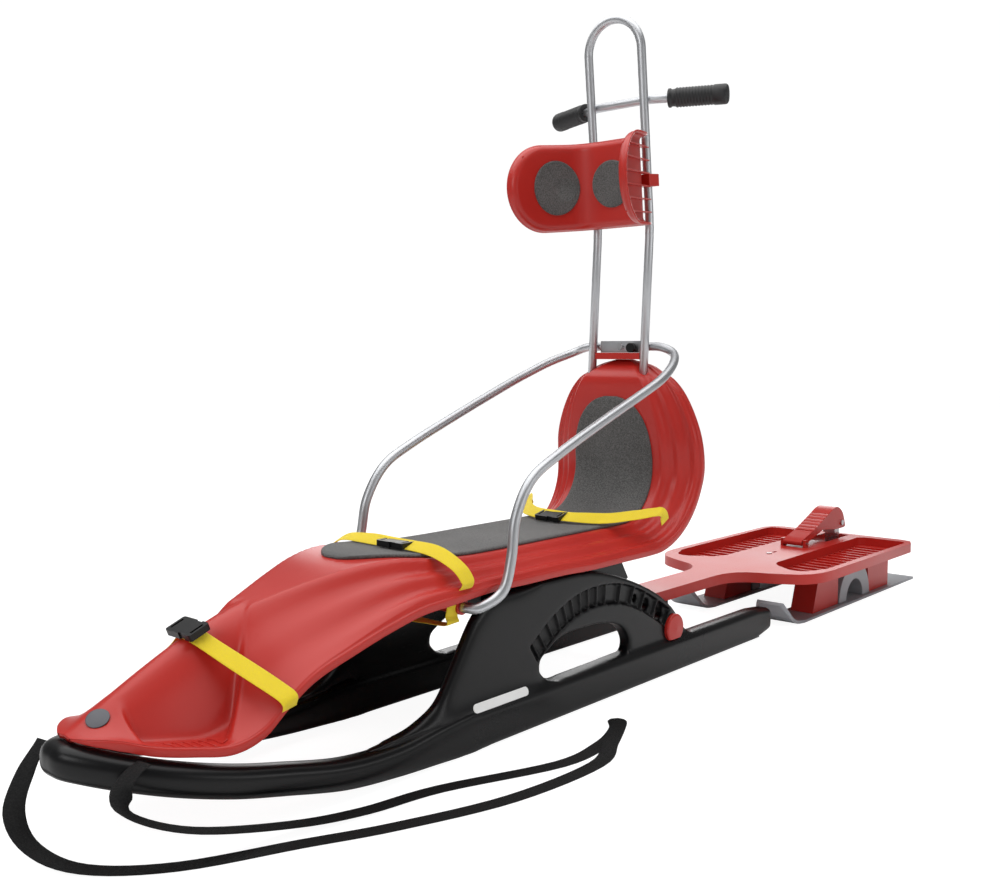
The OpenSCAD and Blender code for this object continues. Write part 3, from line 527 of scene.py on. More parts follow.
def welded(name, node, side):
    """Voxel skin over a runner's solid and its fillers. side mirrors the fillers."""
    me = nodes[node].data.copy()
    me.name = name
    bm = bmesh.new()
    bm.from_mesh(me)
    for rings in (fillet_rings(), foot_rings()):
        verts, faces = loft(rings)
        faces += ends(len(rings), len(rings[0]))
        vs = [bm.verts.new((side * v[0], v[1], v[2])) for v in verts]
        for f in faces:
            bm.faces.new([vs[j] for j in f][::side])
    bmesh.ops.recalc_face_normals(bm, faces=bm.faces)
    bmesh.ops.remove_doubles(bm, verts=bm.verts, dist=0.000002)
    bm.to_mesh(me)
    obj = bpy.data.objects.new(name, me)
    scene.collection.objects.link(obj)
    remesh = obj.modifiers.new("skin", "REMESH")
    remesh.mode = "VOXEL"
    remesh.voxel_size = VOXEL
    remesh.adaptivity = 0.0
    remesh.use_smooth_shade = True
    done = obj.evaluated_get(bpy.context.evaluated_depsgraph_get())
    obj_mesh = bpy.data.meshes.new_from_object(done)
    obj.modifiers.clear()
    obj.data = obj_mesh
    return obj

print("voxel size %.1f mm" % (VOXEL * 1000))

# %% [markdown]
# Both runners use the same steps. The left one is kept by name, because the side label lies on its skin.

# %% Runners
def runner_moulding(name, node, side):
    obj = welded(name, node, side)
    me = obj.data
    co = np.empty(len(me.vertices) * 3, np.float32)
    me.vertices.foreach_get("co", co)
    co = co.reshape(-1, 3).astype(float)
    edges = np.empty(len(me.edges) * 2, np.int32)
    me.edges.foreach_get("vertices", edges)
    edges = edges.reshape(-1, 2)
    yz = co[:, 1:] * 1000
    gap = np.min([np.hypot(*(yz - q).T) for q in CHANNEL], axis=0)
    y, z = yz.T
    strut = np.clip((gap - 19) / 14, 0, 1) * np.clip((-y - 385) / 60, 0, 1) * np.clip((z - 60) / 14, 0, 1)
    weight = np.clip((gap - 17) / 7, 0, 1) * np.where((z < 60) & (y > -575), 0.25, 1)
    co = spread(co, edges, np.maximum(weight, 0.12), ROUNDS)
    co = spread(co, edges, strut, STRUT_ROUNDS)
    me.vertices.foreach_set("co", co.astype(np.float32).ravel())
    me.polygons.foreach_set("use_smooth", [True] * len(me.polygons))
    me.update()
    me.materials.clear()
    place(obj, "sled", black_plastic, node)
    print(name, len(me.polygons), "faces")
    return obj

runner = runner_moulding("runner_left_moulding", "runner_left", 1)
runner_moulding("runner_right_moulding", "runner_right", -1)

# %% [markdown]
# The seat shell is one thin moulding: a nose over the feet, a flat deck and a high back. Its solid is a
# loft through sections. Each row below gives the middle's Y and Z, the lean in degrees, the half width,
# the depth of the sides, and how far the section has turned from the nose's form into the deck's.

# %% Sections along the seat
SEAT_Z = 282
SEAT_HALF = 150
BEND_R = 95
BACK_HALF = 167
BACK_TOP = 578
BACK_Y = -100 + BEND_R
nose = [
    [-1106, 144, 0, 16, 2, 0], [-1094, 150, 0, 40, 8, 0], [-1072, 162, 0, 64, 24, 0],
    [-1040, 179, 0, 88, 55, 0], [-1000, 200, 0, 107, 88, 0], [-955, 222, 0, 122, 120, 0],
    [-915, 238, 0, 130, 124, 0.02], [-880, 250, 0, 135, 102, 0.08], [-840, 262, 0, 139, 84, 0.2],
    [-780, 279, 0, 144, 76, 0.45], [-720, 292, 0, 147, 68, 0.72], [-660, 297, 0, 149, 58, 0.9],
    [-600, 292, 0, 150, 48, 1], [-520, 284, 0, 150, 35, 1]]
seat = [[y, SEAT_Z, 0, SEAT_HALF, 34 if y < -300 else 37, 1] for y in range(-440, -99, 85)]
bend = [[-100 + BEND_R * math.sin(math.radians(a)), SEAT_Z + BEND_R - BEND_R * math.cos(math.radians(a)), a,
         SEAT_HALF + (BACK_HALF - SEAT_HALF) * a / 90, 37 + 5 * a / 90, 1] for a in (18, 36, 54, 72, 90)]
back = [
    [BACK_Y - 4, 425, 93, BACK_HALF - 3, 42, 1], [BACK_Y - 8, 470, 94, BACK_HALF - 17, 43, 1],
    [BACK_Y - 11, 510, 94, BACK_HALF - 38, 44, 1], [BACK_Y - 12, 538, 92, BACK_HALF - 62, 44, 1],
    [BACK_Y - 4, BACK_TOP - 26, 90, BACK_HALF - 84, 36, 1],
    [BACK_Y + 14, BACK_TOP - 12, 90, BACK_HALF - 110, 18, 1],
    [BACK_Y + 28, BACK_TOP - 2, 90, BACK_HALF - 148, 4, 1]]
sections = smooth(nose + seat + bend + back, 12)
print("sections along the seat:", len(sections))

# %% [markdown]
# Across the shell the profile gets its creases: the narrow ridge of the nose opens into the flat deck with
# a crisp edge, two beads run along the deck's side, and a foot pocket is pressed into each side of the
# nose. Each curve gives the share of the depth over the share of the width.

# %% Profiles across the shell
def profile(*points):
    q = smooth([[x, y, 0] for x, y in points], 10)
    return lambda v: np.interp(v, q[:, 0], q[:, 1])

def ease(lo, hi, v):
    """Soft step from 0 to 1."""
    t = np.clip((v - lo) / (hi - lo), 0, 1)
    return t * t * (3 - 2 * t)

RIM = 0.86
ridge = profile((0, 0), (0.08, 0.02), (0.2, 0.13), (0.4, 0.38), (0.6, 0.6), (0.8, 0.77), (0.93, 0.84),
                (1, RIM))
flank = profile((0, 0), (0.04, 0.015), (0.12, 0.1), (0.3, 0.32), (0.6, 0.62), (0.85, 0.81), (1, RIM))
bead = profile((0, 0), (0.04, 0.01), (0.1, 0.12), (0.2, 0.32), (0.3, 0.39), (0.42, 0.41), (0.52, 0.54),
               (0.61, 0.7), (0.7, 0.77), (0.84, 0.78), (0.93, 0.87), (1, 1))
shin = profile((0, 0), (0.12, 0.06), (0.25, 0.3), (0.38, 0.68), (0.47, 0.93), (0.53, 1), (0.7, 1), (1, 1))
deck_half = profile((-1106, 0), (-935, 0), (-900, 8), (-845, 24), (-778, 46), (-720, 66), (-640, 88),
                    (-560, 97), (-400, 96))

def shell_depth(s, x):
    """Depth of the skin below the section's middle line, at x from its middle."""
    y, w, d, turned_in = s[0], s[3], s[4], min(max(s[5], 0), 1)
    rim = RIM + (1 - RIM) * turned_in
    deck = ease(-640, -520, y)
    flat = deck_half(y) * (1 - deck) + 0.64 * w * deck
    e = np.clip((x - flat) / (w - flat), 0, 1)
    creased = flank(e) * (1 - turned_in) + bead(e) * turned_in
    k = ease(-935, -860, y)
    base = d * (ridge(x / w) * (1 - k) + creased * k)
    lip = ease(w - 11, w - 7, x)
    pocket = (d * rim + 4) * shin(x / w) * (1 - lip) + d * rim * lip
    rear = -951 + np.where(x < 104, 1.05, -0.5) * np.abs(104 - x)
    inside = ease(-1049, -1038, y) * (1 - ease(rear - 12, rear + 10, y)) if turned_in < 0.2 else 0.0
    return base + (pocket - base) * inside

print("depth at the deck's rim: %.1f mm" % shell_depth(sections[200], np.array([150.0]))[0])

# %% [markdown]
# A ring goes down the outer face from the middle, round the rim's flange and back along the inner face.
# The first and last rings are closed with quads between their two faces.

# %% Seat shell
SHELL_T = 5
FLANGE = 12

def shell_point(s, x, d):
    a = math.radians(s[2])
    return np.array([x, s[0] + d * math.sin(a), s[1] - d * math.cos(a)])

def shell_ring(s):
    w = s[3]
    t = min(SHELL_T, w / 3)
    x = np.concatenate([np.linspace(0, 0.88, 34), np.linspace(0.9, 0.975, 9)]) * w
    face = list(zip(x, shell_depth(s, x)))
    rim = float(shell_depth(s, np.array([w]))[0])
    low = rim + FLANGE * min(1, w / 64)
    r = min(3.2, t * 0.6)
    corner = [(w - r + r * math.sin(a), rim + r - r * math.cos(a)) for a in np.radians([0, 25, 50, 75, 90])]
    outer = face + corner + [(w, low - 0.8), (w - 0.7, low)]
    inner = [(w - t + 0.6, low), (w - t, low - 1)] + [((w - t) / w * a, b + t) for a, b in face[::-1]]
    half = outer + inner
    left = [(-a, b) for a, b in half[1:-1]][::-1]
    return [shell_point(s, a, b) / 1000 for a, b in half + left]

def shell_ends(rows, m):
    half = (m + 2) // 2
    out = []
    for e, turn in ((0, 1), ((rows - 1) * m, -1)):
        for j in range(half // 2 - 1):
            out.append((e + j, e + half - 1 - j, e + half - 2 - j, e + j + 1)[::turn])
            out.append((e + (m - j) % m, e + m - j - 1, e + half + j, e + half - 1 + j)[::turn])
    return out

rings = [shell_ring(s) for s in sections]
verts, faces = loft(rings)
shell = mesh_object("seat_shell_moulding", verts, faces + shell_ends(len(rings), len(rings[0])))
place(shell, "sled", red_plastic, "seat_shell")
print("seat shell:", len(shell.data.polygons), "faces")

# %% [markdown]
# Six low ribs cross each pocket's floor, to give the boots a hold. They follow the shell's own depth.

# %% Ribs on the pocket floors
def on_shell(y, x, lift):
    """Point in mm on the shell's outer face, lift above it."""
    s = min(sections[:200], key=lambda q: abs(q[0] - y) + 1000 * (q[2] > 0))
    return shell_point(s, x, float(shell_depth(s, np.array([abs(x)]))[0]) - lift)

low_rib = [(-0.0014, -0.0012), (0.0014, -0.0012), (0.001, 0.0005), (0, 0.0009), (-0.001, 0.0005)]
for side, side_name in ((1, "left"), (-1, "right")):
    for k in range(6):
        y = -1012 + k * 11
        line = [on_shell(y + (x - 70) * 0.12, side * x, 0.6) / 1000
                for x in np.linspace(62 + k * 1.5, 92 + k * 2.2, 8)]
        rib = sweep("pocket_rib_%s_%d" % (side_name, k + 1), line, low_rib)
        place(rib, "sled", red_plastic)
print("ribs in each pocket:", 6)

# %% [markdown]
# The seat pad is a foam sheet 5 mm thick, glued to the deck. It is narrowed to a rounded tip at the knees
# and at the top of the back, and its cut edge is slightly rounded over.

# %% Seat pad
PAD_T = 5.0
PAD_GAP = 0.3
PAD_HALF = 88
pad_rows = [s for s in sections if s[0] > -705 and s[1] < 510 and s[5] > 0.7]
pad_edge = [(-1, 0.0), (-1.0, 0.55), (-0.985, 0.85), (-0.96, 1.0)]
pad_section = pad_edge + [(k / 8, 1.0) for k in range(-7, 8)] + [(-a, b) for a, b in pad_edge[::-1]]

def pad_width(i, n):
    a = min(1, (i + 0.35) / 30)
    b = min(1, (n - 1 - i + 0.35) / 33)
    return PAD_HALF * math.sqrt(1 - (1 - a) ** 2) * math.sqrt(1 - (1 - b) ** 2.2)

rings = []
for i, s in enumerate(pad_rows):
    w = pad_width(i, len(pad_rows))
    thin = min(1.0, 0.55 + 0.25 * min(i, len(pad_rows) - 1 - i))
    rings.append([shell_point(s, w * a, -PAD_GAP - PAD_T * b * thin) / 1000 for a, b in pad_section])
verts, faces = loft(rings)
pad = mesh_object("seat_pad_foam", verts, faces + ends(len(rings), len(pad_section)))
place(pad, "sled", foam, "seat_pad")
print("seat pad rows:", len(pad_rows))

# %% [markdown]
# The push bar, hoops and handlebar are one size of tube. Each follows the same line as its solid, in finer
# steps, so that the bends are round and the light runs cleanly along them. The push bar leans back below
# a kink and forward above it.

# %% Push bar
TUBE_R = 8.0
BAR_X = 59.0
LEAN = 6.0
BACK = 3.4
BAR_TOP_Z = 1205 - BAR_X - TUBE_R
BAR_TOP_Y = -13.0
BAR_RUN = 320.0
SOCKET_Z = 470.0
kink_y = BAR_TOP_Y + BAR_RUN * math.sin(math.radians(LEAN))
kink_z = BAR_TOP_Z - BAR_RUN * math.cos(math.radians(LEAN))

def bar_y(z):
    """Y of the push bar's middle at height z."""
    if z > kink_z:
        return BAR_TOP_Y + (BAR_TOP_Z - z) * math.tan(math.radians(LEAN))
    return kink_y - (kink_z - z) * math.tan(math.radians(BACK))

def metal_tube(name, line, node, up):
    tube = sweep(name, np.array(line) / 1000, circle(TUBE_R / 1000, 28), up=up)
    return place(tube, "sled", tube_metal, node)

bar_side = [[BAR_X, bar_y(SOCKET_Z), SOCKET_Z]]
for t in np.linspace(-1, 1, 13):
    z = kink_z + 20 * t
    bar_side.append([BAR_X, bar_y(z) - (1 - t * t) * 5 * math.tan(math.radians(LEAN + BACK)), z])
bar_top = [[BAR_X * math.cos(a), BAR_TOP_Y - BAR_X * math.sin(a) * math.sin(math.radians(LEAN)),
            BAR_TOP_Z + BAR_X * math.sin(a) * math.cos(math.radians(LEAN))]
           for a in np.linspace(0, math.pi, 41)]
bar_line = bar_side + bar_top + [[-x, y, z] for x, y, z in bar_side[::-1]]
metal_tube("push_bar_tube", bar_line, "push_bar", (0, 1, 0))
print("push bar kink at y %.0f z %.0f mm" % (kink_y, kink_z))

# %% [markdown]
# A hoop rises from the socket under the seat's side, sweeps back over the rider's hip and turns in to the
# clamp behind the push bar. The right hoop is its mirror image.

# %% Hoops
HOOP = 162
CLAMP_Z = 600
SOCKET_Y = -560
SOCKET_BAR_Z = 219
hoop_y = bar_y(CLAMP_Z + 11) + 16.3
hoop_line = smooth([
    [116, SOCKET_Y, SOCKET_BAR_Z], [126, SOCKET_Y, SOCKET_BAR_Z], [136, SOCKET_Y, SOCKET_BAR_Z],
    [152, SOCKET_Y + 12, SOCKET_BAR_Z + 1], [HOOP + 3, SOCKET_Y + 46, 240], [HOOP + 4, -496, 288],
    [HOOP + 2, -484, 345], [HOOP, -446, 398], [HOOP, -380, 432], [HOOP, -260, 479], [HOOP, -130, 527],
    [HOOP - 5, -75, 548], [HOOP - 20, -24, 570], [HOOP - 46, hoop_y - 8, 588],
    [HOOP - 78, hoop_y, CLAMP_Z - 1], [48, hoop_y, CLAMP_Z]], 8)
metal_tube("hoop_left_tube", hoop_line, "hoop_left", (0, 0, 1))
metal_tube("hoop_right_tube", hoop_line * (-1, 1, 1), "hoop_right", (0, 0, 1))
print("points on a hoop:", len(hoop_line))

# %% [markdown]
# The handlebar passes behind the push bar and its ends are bent back, so that the hands meet it squarely.

# %% Handlebar
HANDLE_Z = 1050
SWEEP = 22
GRIP_L = 122
GRIP_D = 36
TO_GRIP = 20
handle_y = bar_y(HANDLE_Z) + 15.3
bend_pts = [[50 + 30 * math.cos(a), handle_y + 30 + 30 * math.sin(a), HANDLE_Z]
            for a in np.radians(np.linspace(-90, SWEEP - 90, 9))]
out_x = math.cos(math.radians(SWEEP))
out_y = math.sin(math.radians(SWEEP))
bend_x, bend_y = bend_pts[-1][:2]
reach = TO_GRIP + GRIP_L - 6
handle_half = bend_pts + [[bend_x + reach * out_x, bend_y + reach * out_y, HANDLE_Z]]
handle_line = [[-x, y, z] for x, y, z in handle_half[::-1]] + handle_half
metal_tube("handlebar_tube", handle_line, "handlebar", (0, 0, 1))
print("handlebar at y %.0f mm" % handle_y)

# %% [markdown]
# The grips are turned rubber sleeves: a narrow flange, a row of rings that the palm holds, and a plain end
# band with a domed end. A turned profile with real rings catches the light better than a bump would.

# %% Grips
GRIP_SKIP = 14

def turned(name, rows, origin, axis, n=40):
    """rows [(height, radius)] in mm, turned about axis from origin."""
    q = Vector(axis).normalized().to_track_quat("Z", "Y").to_matrix()
    verts = []
    uvs = []
    for h, r in rows:
        for k in range(n):
            a = 2 * math.pi * k / n
            verts.append(Vector(origin) / 1000 + q @ Vector((r * math.cos(a), r * math.sin(a), h)) / 1000)
            uvs.append((h / 1000, a * r / 1000))
    return mesh_object(name, verts, skin(len(rows), n) + ends(len(rows), n), uvs)

def grip_profile():
    g = GRIP_D / 2
    length = GRIP_L - GRIP_SKIP
    p = [(0, 8.2), (0, g - 2), (0.8, g - 1), (4.4, g - 1), (5.4, g - 2), (7, g - 3), (12, g - 2.4)]
    for k in range(12):
        z = 14 + k * 5.6
        p += [(z, g - 1.6), (z + 1.2, g - 0.5), (z + 3.2, g - 0.5), (z + 4.4, g - 1.6)]
    p += [(z + 6.5, g - 0.8), (z + 8, g), (length - 6, g)]
    p += [(length - 6 + 6 * math.sin(a), g - 6 + 6 * math.cos(a)) for a in np.radians([20, 40, 60, 80, 90])]
    return p + [(length, 0.2)]

for side_name, sx in (("left", 1), ("right", -1)):
    along = TO_GRIP + GRIP_SKIP
    start = (sx * (bend_x + along * out_x), bend_y + along * out_y, HANDLE_Z)
    grip = turned("grip_%s_rubber" % side_name, grip_profile(), start, (sx * out_x, out_y, 0))
    place(grip, "sled", grip_rubber, "grip_" + side_name)
print("rows on a grip:", len(grip_profile()))

# %% [markdown]
# The head support is a pill-shaped sheet bent round the head, with its whole edge rolled outwards. First
# comes its plan, the bent line seen from above, and a way to put a point on it: a along the plan, v above
# the middle, and out behind the face.

# %% Plan of the head support
HEAD_Z = 1205 - 301
HEAD_R = 81
plan_half = smooth([[0, -30, 0], [42, -31, 0], [68, -42, 0], [82, -68, 0], [98, -118, 0],
                    [116, -180, 0]], 10)[:, :2]
plan = np.vstack([plan_half[:0:-1] * (-1, 1), plan_half])
plan_s = np.concatenate([[0], np.cumsum(np.linalg.norm(np.diff(plan, axis=0), axis=1))])
plan_s -= plan_s[-1] / 2
HEAD_S = plan_s[-1]
lean_c = math.cos(math.radians(LEAN))
lean_s = math.sin(math.radians(LEAN))

def on_plan(a):
    return np.array([np.interp(a, plan_s, plan[:, 0]), np.interp(a, plan_s, plan[:, 1])])

def leaning(x, y, v):
    """Point at x, y behind and v above the head support's middle, on the leaning push bar, in metres."""
    return np.array([x, bar_y(HEAD_Z) + y * lean_c - v * lean_s, HEAD_Z + y * lean_s + v * lean_c]) / 1000

def on_head(a, v, out):
    t = unit(on_plan(a + 1) - on_plan(a - 1))
    x, y = on_plan(a)
    return leaning(x - t[1] * out, y + t[0] * out, v)

print("half length along the plan: %.0f mm" % HEAD_S)

# %% [markdown]
# The sheet is built on the pill's own grid: rings that shrink from the outline to the middle line, each
# at a distance in from the edge and a depth behind the face. Going down the list, they cross the front
# face, roll round the edge and come back over the rear face.

# %% Head support
HEAD_T = 4
HEAD_ROLL = 12
ARC = 34

def half_circle(x, r, start, n):
    """n points of a half circle round x, from the angle start."""
    return [(x + r * math.cos(a), r * math.sin(a)) for a in np.linspace(start, start + math.pi, n)]

def pill(n):
    """Outline of the pill and the matching points of its middle line."""
    m = HEAD_S - HEAD_R
    top = np.linspace(m, -m, n)[1:-1]
    low = np.linspace(-m, m, n)[1:-1]
    out = half_circle(m, HEAD_R, -math.pi / 2, n) + [(x, HEAD_R) for x in top]
    out += half_circle(-m, HEAD_R, math.pi / 2, n) + [(x, -HEAD_R) for x in low]
    mid = [(m, 0)] * n + [(x, 0) for x in top] + [(-m, 0)] * n + [(x, 0) for x in low]
    return np.array(out), np.array(mid)

def pill_caps(e, n, turn):
    """Faces over the innermost ring, which starts at point e."""
    side = 2 * n - 2
    caps = [tuple(range(n)), (n - 1, n, 2 * side - 1, 0), (side - 1, side, side + n - 1, side + n)]
    caps += [tuple(range(side, side + n))]
    caps += [(n + i, n + 1 + i, 2 * side - 2 - i, 2 * side - 1 - i) for i in range(n - 3)]
    return [tuple(e + j for j in c)[::turn] for c in caps]

outline, middle = pill(ARC)
roll = [(14 - HEAD_ROLL * math.sin(a), HEAD_ROLL - HEAD_ROLL * math.cos(a))
        for a in np.radians(range(0, 91, 15))]
front = [(HEAD_R - 0.5, 0), (60, 0), (40, 0), (26, 0), (17, 0)] + roll
front += [(1.6, 15), (0.3, 16.6), (0.3, 17.8), (1.4, 18.3)]
rear = [(4.5, 17.6), (5, 13)]
rear += [(14 - 8.5 * math.sin(a), HEAD_ROLL - 8 * math.cos(a)) for a in np.radians([80, 60, 40, 20, 0])]
rear += [(17, HEAD_T), (26, HEAD_T), (40, HEAD_T), (60, HEAD_T), (HEAD_R - 0.5, HEAD_T)]
rings = []
for inward, out in front + rear:
    k = (HEAD_R - inward) / HEAD_R
    rings.append([on_head(*(m + (o - m) * k), out) for o, m in zip(outline, middle)])
verts, faces = loft(rings)
faces += pill_caps(0, ARC, -1) + pill_caps((len(rings) - 1) * len(outline), ARC, 1)
head = mesh_object("head_support_moulding", verts, faces)
place(head, "head", red_plastic, "head_support")
print("head support rings:", len(rings))

# %% [markdown]
# Six flat ribs stand behind each wing and run back beside the push bar's tube. Each is a thin plate cut
# along the wing's rear face, so it is made from that outline, twice, with a rim between.

# %% Ribs behind its wings
RIB_N = 6
RIB_T = 2.4
pitch = 2 * HEAD_R / (RIB_N + 1)
for sx, side_name in ((1, "left"), (-1, "right")):
    for k in range(RIB_N):
        v = (k - (RIB_N - 1) / 2) * pitch
        far = HEAD_S - HEAD_R + math.sqrt(HEAD_R ** 2 - v ** 2) - 6
        verts = []
        for lift in (-RIB_T / 2, RIB_T / 2):
            wing_end = on_head(sx * far, v + lift, 16)
            tube_end = leaning(sx * 71, -9, v + lift)
            verts += [on_head(sx * a, v + lift, HEAD_T - 0.5) for a in np.linspace(66, far, 16)]
            verts += [wing_end + (tube_end - wing_end) * t for t in np.linspace(0, 1, 6)]
        m = len(verts) // 2
        faces = [tuple(range(m)), tuple(range(2 * m - 1, m - 1, -1))]
        faces += [(j, m + j, m + (j + 1) % m, (j + 1) % m) for j in range(m)]
        rib = mesh_object("head_rib_%s_%d" % (side_name, k + 1), verts, [f[::sx] for f in faces])
        rib.data.polygons.foreach_set("use_smooth", [False] * len(rib.data.polygons))
        place(rib, "head", red_plastic)
print("ribs behind each wing:", RIB_N)

# %% [markdown]
# Three foam discs are glued to the head support's face, one on each wing and one in the middle. They bend
# with the face, and their cut edge is rounded over.

# %% Head pads
DISC_SIDES = 64

def head_disc(name, node, at, d):
    rows = [(0.001, 3.3), (0.3, 3.3), (0.6, 3.3), (0.8, 3.3), (0.92, 3.3), (0.965, 3.15), (0.99, 2.6),
            (1.0, 1.6), (1.0, 0.3)]
    angles = np.linspace(0, 2 * math.pi, DISC_SIDES + 1)[:-1]
    rings = [[on_head(at + d / 2 * k * math.cos(a), d / 2 * k * math.sin(a), -h) for a in angles]
             for k, h in rows]
    verts, faces = loft(rings)
    disc = mesh_object(name, verts, faces + ends(len(rows), DISC_SIDES))
    place(disc, "head", foam, node)
    print(name, "%.0f mm across" % d)

head_disc("head_pad_left_foam", "head_pad_left", 118, 100)
head_disc("head_pad_right_foam", "head_pad_right", -118, 100)
head_disc("head_pad_centre_foam", "head_pad_centre", 0, 86)

# %% [markdown]
# The belts are the same woven band as the tow strap, in yellow. They lie as a hand left them: each has a
# slight ripple along its length, and the thigh and hip belts stand up a little at their rear edge. The
# fourth line is the thigh belt's slack, which hangs in a loop under the seat.

# %% Lines of the belts
THIGH_Y = -575
FOOT_Y = -935
foot_half = [[137.2, -884, 150], [139.8, -886, 163], [120, -894, 176], [60, -917, 206.5],
             [14, FOOT_Y + 1, 229.7]]
foot_line = foot_half + [[0, FOOT_Y, 231.9]] + [[-x, y, z] for x, y, z in foot_half[::-1]]
thigh_half = [[145, THIGH_Y, 250], [150.5, THIGH_Y, 255], [151, THIGH_Y, 264], [138, THIGH_Y - 6, 283],
              [100, THIGH_Y - 12, 301], [50, THIGH_Y - 16, 305.5]]
thigh_line = [[-x, y, z] for x, y, z in thigh_half] + [[0, THIGH_Y - 18, 306]] + thigh_half[::-1]
slack_half = [[126, THIGH_Y, 240], [122, THIGH_Y - 3, 210], [120, THIGH_Y - 5, 196], [40, THIGH_Y, 190]]
slack_line = slack_half + [[-x, y, z] for x, y, z in slack_half[::-1]]
hip_half = [[156, -66, 290], [153, -78, 308], [125, -112, 304], [90, -150, 299], [45, -176, 299]]
hip_line = [[-x, y, z] for x, y, z in hip_half] + [[0, -182, 299]] + hip_half[::-1]
print("belt points:", len(foot_line), len(thigh_line), len(slack_line), len(hip_line))

# %% [markdown]
# One sweep makes each band. Its width direction is given at every point, which is where the ripple and
# the lift of the rear edge go in.

# %% Belts
BELT_W = 0.025
BELT_T = 0.0016

def belt(name, line, wide, node, tilt=0.0):
    """Band of webbing. tilt lifts its rear edge over the middle of the line."""
    path = smooth(line, 8)
    run = np.linspace(0, 1, len(path))
    rise = tilt * np.sin(math.pi * np.clip((run - 0.12) / 0.76, 0, 1)) ** 0.5
    ripple = 0.08 * np.sin(run * 31) * np.sin(math.pi * run)
    sides = [np.array(wide) + (0, 0, r) for r in rise + ripple]
    band = sweep(name, path / 1000, webbing_section(BELT_W, BELT_T), wide=sides)
    place(band, "sled", yellow_web, node)
    print(name, "%.2f m" % float(sum(np.linalg.norm(np.diff(path, axis=0), axis=1)) / 1000))

belt("foot_belt", foot_line, (0, 1, 0.4), "belt_foot")
belt("thigh_belt", thigh_line, (0, 1, 0), "belt_thigh", 0.5)
belt("thigh_belt_slack", slack_line, (0, 1, 0), "belt_thigh_slack")
belt("hip_belt", hip_line, (0, 1, 0.25), "belt_hip", 0.45)

# %% [markdown]
# Two places carry lettering on the real sled: a disc on the nose and a strip on the frame's side. Both
# stay bare here, but each is a properly made plate with a rounded rim, at its true size.

# %% Bare plates
def plate(name, pts2d, origin, ex, ey, thick, mat):
    """Flat plate with a rounded edge, its outline in the plane of ex and ey, in mm."""
    ex = unit(np.array(ex, float))
    ey = unit(np.array(ey, float))
    ez = np.cross(ex, ey)
    rows = ((1.0, 0.0), (1.0, 0.6), (0.985, 0.9), (0.95, 1.0))
    rings = [[(np.array(origin) + ex * a * k + ey * b * k + ez * thick * h) / 1000 for a, b in pts2d]
             for k, h in rows]
    verts, faces = loft(rings)
    made = mesh_object(name, verts, faces + ends(len(rows), len(pts2d)))
    return place(made, "sled", mat)

strip = half_circle(56, 7, -math.pi / 2, 12) + half_circle(-56, 7, math.pi / 2, 12)
label = plate("side_label", strip, (0, 0, 0), (0, 1, 0), (0, 0, 1), 0.8, white_label)
disc = [(14 * math.cos(a), 14 * math.sin(a)) for a in np.linspace(0, 2 * math.pi, 33)[:-1]]
corner, ahead, beside = [on_shell(y, x, 0) for y, x in ((-1072, 16), (-1060, 16), (-1072, 24))]
ey = unit(ahead - corner)
ez = unit(np.cross(beside - corner, ey))
plate("nose_badge", disc, corner + ez * 0.6, np.cross(ey, ez), ey, 1.2, badge_metal)
print("plates: strip 126 by 14 mm, disc 28 mm")

# %% [markdown]
# The strip lies on the runner's rounded skin. Each of its points is dropped onto that skin from outside,
# so it bends with it as a glued label does.

# %% Lay the label on the runner
LABEL_AT = (-489, 66)
skin_tree = BVHTree.FromObject(runner, bpy.context.evaluated_depsgraph_get())

def on_runner(y, z):
    """Point in mm and normal of the left runner's skin, seen from outside at Y and Z in mm."""
    hit, normal = skin_tree.ray_cast(Vector((0.3, y / 1000, z / 1000)), Vector((-1, 0, 0)))[:2]
    return np.array(hit) * 1000, np.array(normal)

label_middle, label_normal = on_runner(*LABEL_AT)
for v in label.data.vertices:
    hit, normal = on_runner(LABEL_AT[0] + v.co.y * 1000, LABEL_AT[1] + v.co.z * 1000 * label_normal[0])
    v.co = Vector((hit + normal * (v.co.x * 1000 + 0.1)) / 1000)
print("label at", label_middle.round(1), "normal", label_normal.round(2))

# %% [markdown]
# The product stands on a white sheet, which the camera sees as plain white. Is Camera Ray gives the camera
# that white, with the contact shadow kept, and the object is lit by what the sheet really sends back.

# %% Floor
floor_mesh = bpy.data.meshes.new("floor")
floor_mesh.from_pydata([(-30, -30, 0), (30, -30, 0), (30, 30, 0), (-30, 30, 0)], [], [(0, 1, 2, 3)])
floor = bpy.data.objects.new("floor", floor_mesh)
scene.collection.objects.link(floor)

def floor_recipe(pos, uv):
    n = pos.noise(2.0)
    return {"Base Color": n.mix(rgba((0.84, 0.84, 0.84)), rgba((0.86, 0.86, 0.86))),
            "Roughness": n.step(0.0, 1.0, 0.85, 0.9)}

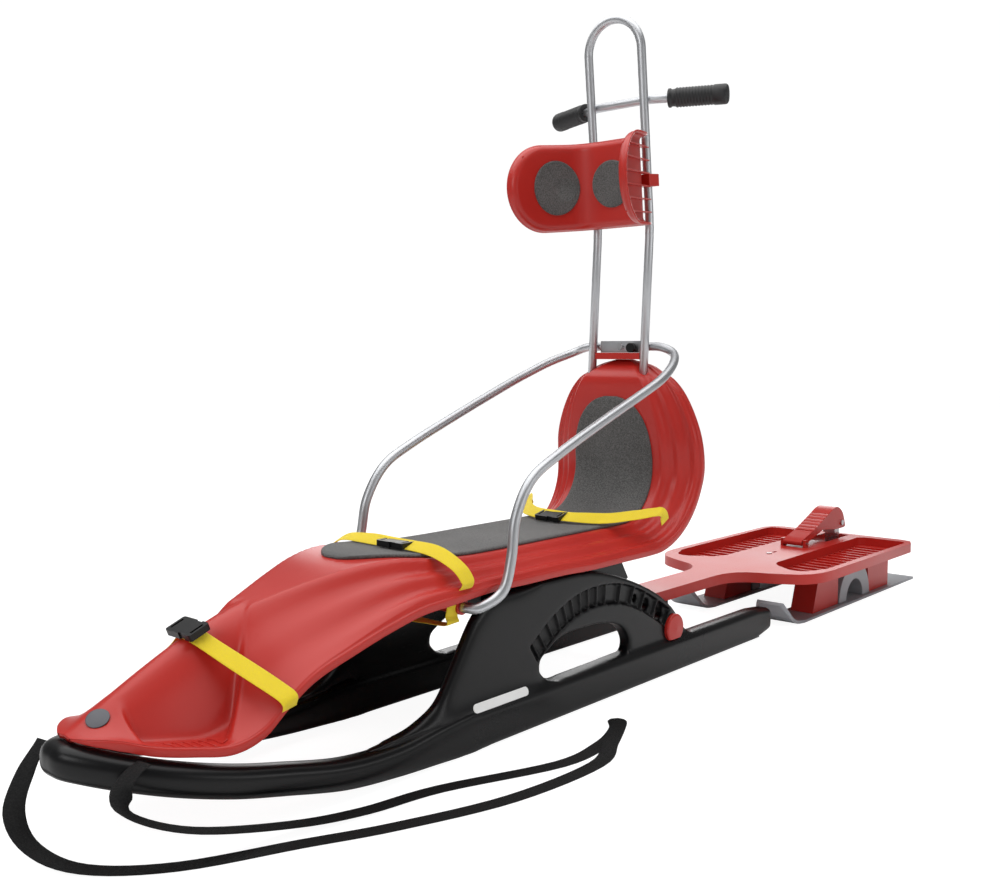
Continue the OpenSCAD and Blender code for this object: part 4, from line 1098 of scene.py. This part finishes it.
floor_mat = material("pale_floor", floor_recipe)
tree = floor_mat.node_tree
surface = next(n for n in tree.nodes if n.type == "OUTPUT_MATERIAL").inputs["Surface"]
paper = next(n for n in tree.nodes if n.type == "BSDF_PRINCIPLED")
ray = tree.nodes.new("ShaderNodeLightPath")
glow = tree.nodes.new("ShaderNodeEmission")
blend = tree.nodes.new("ShaderNodeMixShader")
glow.inputs["Strength"].default_value = 1.3
tree.links.new((Sock(tree, ray.outputs["Is Camera Ray"]) * 0.72).out, blend.inputs[0])
tree.links.new(paper.outputs[0], blend.inputs[1])
tree.links.new(glow.outputs[0], blend.inputs[2])
tree.links.new(blend.outputs[0], surface)
floor.data.materials.append(floor_mat)
print("floor glow", glow.inputs["Strength"].default_value)

# %% [markdown]
# The world is the studio's white walls: white to the camera, and dimmer to the object, so that black
# plastic stays black.

# %% World
world = bpy.data.worlds.new("studio")
scene.world = world
world.use_nodes = True
tree = world.node_tree
walls = next(n for n in tree.nodes if n.type == "BACKGROUND")
ray = tree.nodes.new("ShaderNodeLightPath")
seen = Sock(tree, ray.outputs["Is Camera Ray"])
mirrored = Sock(tree, ray.outputs["Is Glossy Ray"])
walls.inputs["Color"].default_value = (1, 1, 1, 1)
tree.links.new((seen * 0.6 + mirrored * -0.22 + 0.42).out, walls.inputs["Strength"])
scene.view_settings.view_transform = "Standard"
print("world:", world.name)

# %% [markdown]
# A large soft lamp hangs overhead, and three weaker ones stand in front, at the side and behind. All four
# are hidden from the camera.

# %% Lamps
def lamp(name, size, power, place_at, target):
    light = bpy.data.lights.new(name, "AREA")
    light.shape = "RECTANGLE"
    light.size, light.size_y = size
    light.energy = power
    o = bpy.data.objects.new(name, light)
    scene.collection.objects.link(o)
    o.location = place_at
    o.rotation_euler = (Vector(target) - Vector(place_at)).to_track_quat("-Z", "Y").to_euler()
    o.visible_camera = False
    print("lamp", name, power, "W")

lamp("overhead", (3.6, 4.4), 100, (-0.3, -0.2, 2.9), (0, 0, 0.3))
lamp("front", (1.4, 1.0), 16, (0.2, -3.2, 1.7), (0, -0.5, 0.3))
lamp("side", (2.6, 0.4), 12, (2.9, 0.6, 1.1), (0, 0, 0.3))
lamp("back", (3.4, 1.1), 34, (-2.4, 2.9, 1.3), (0, -0.2, 0.2))

# %% [markdown]
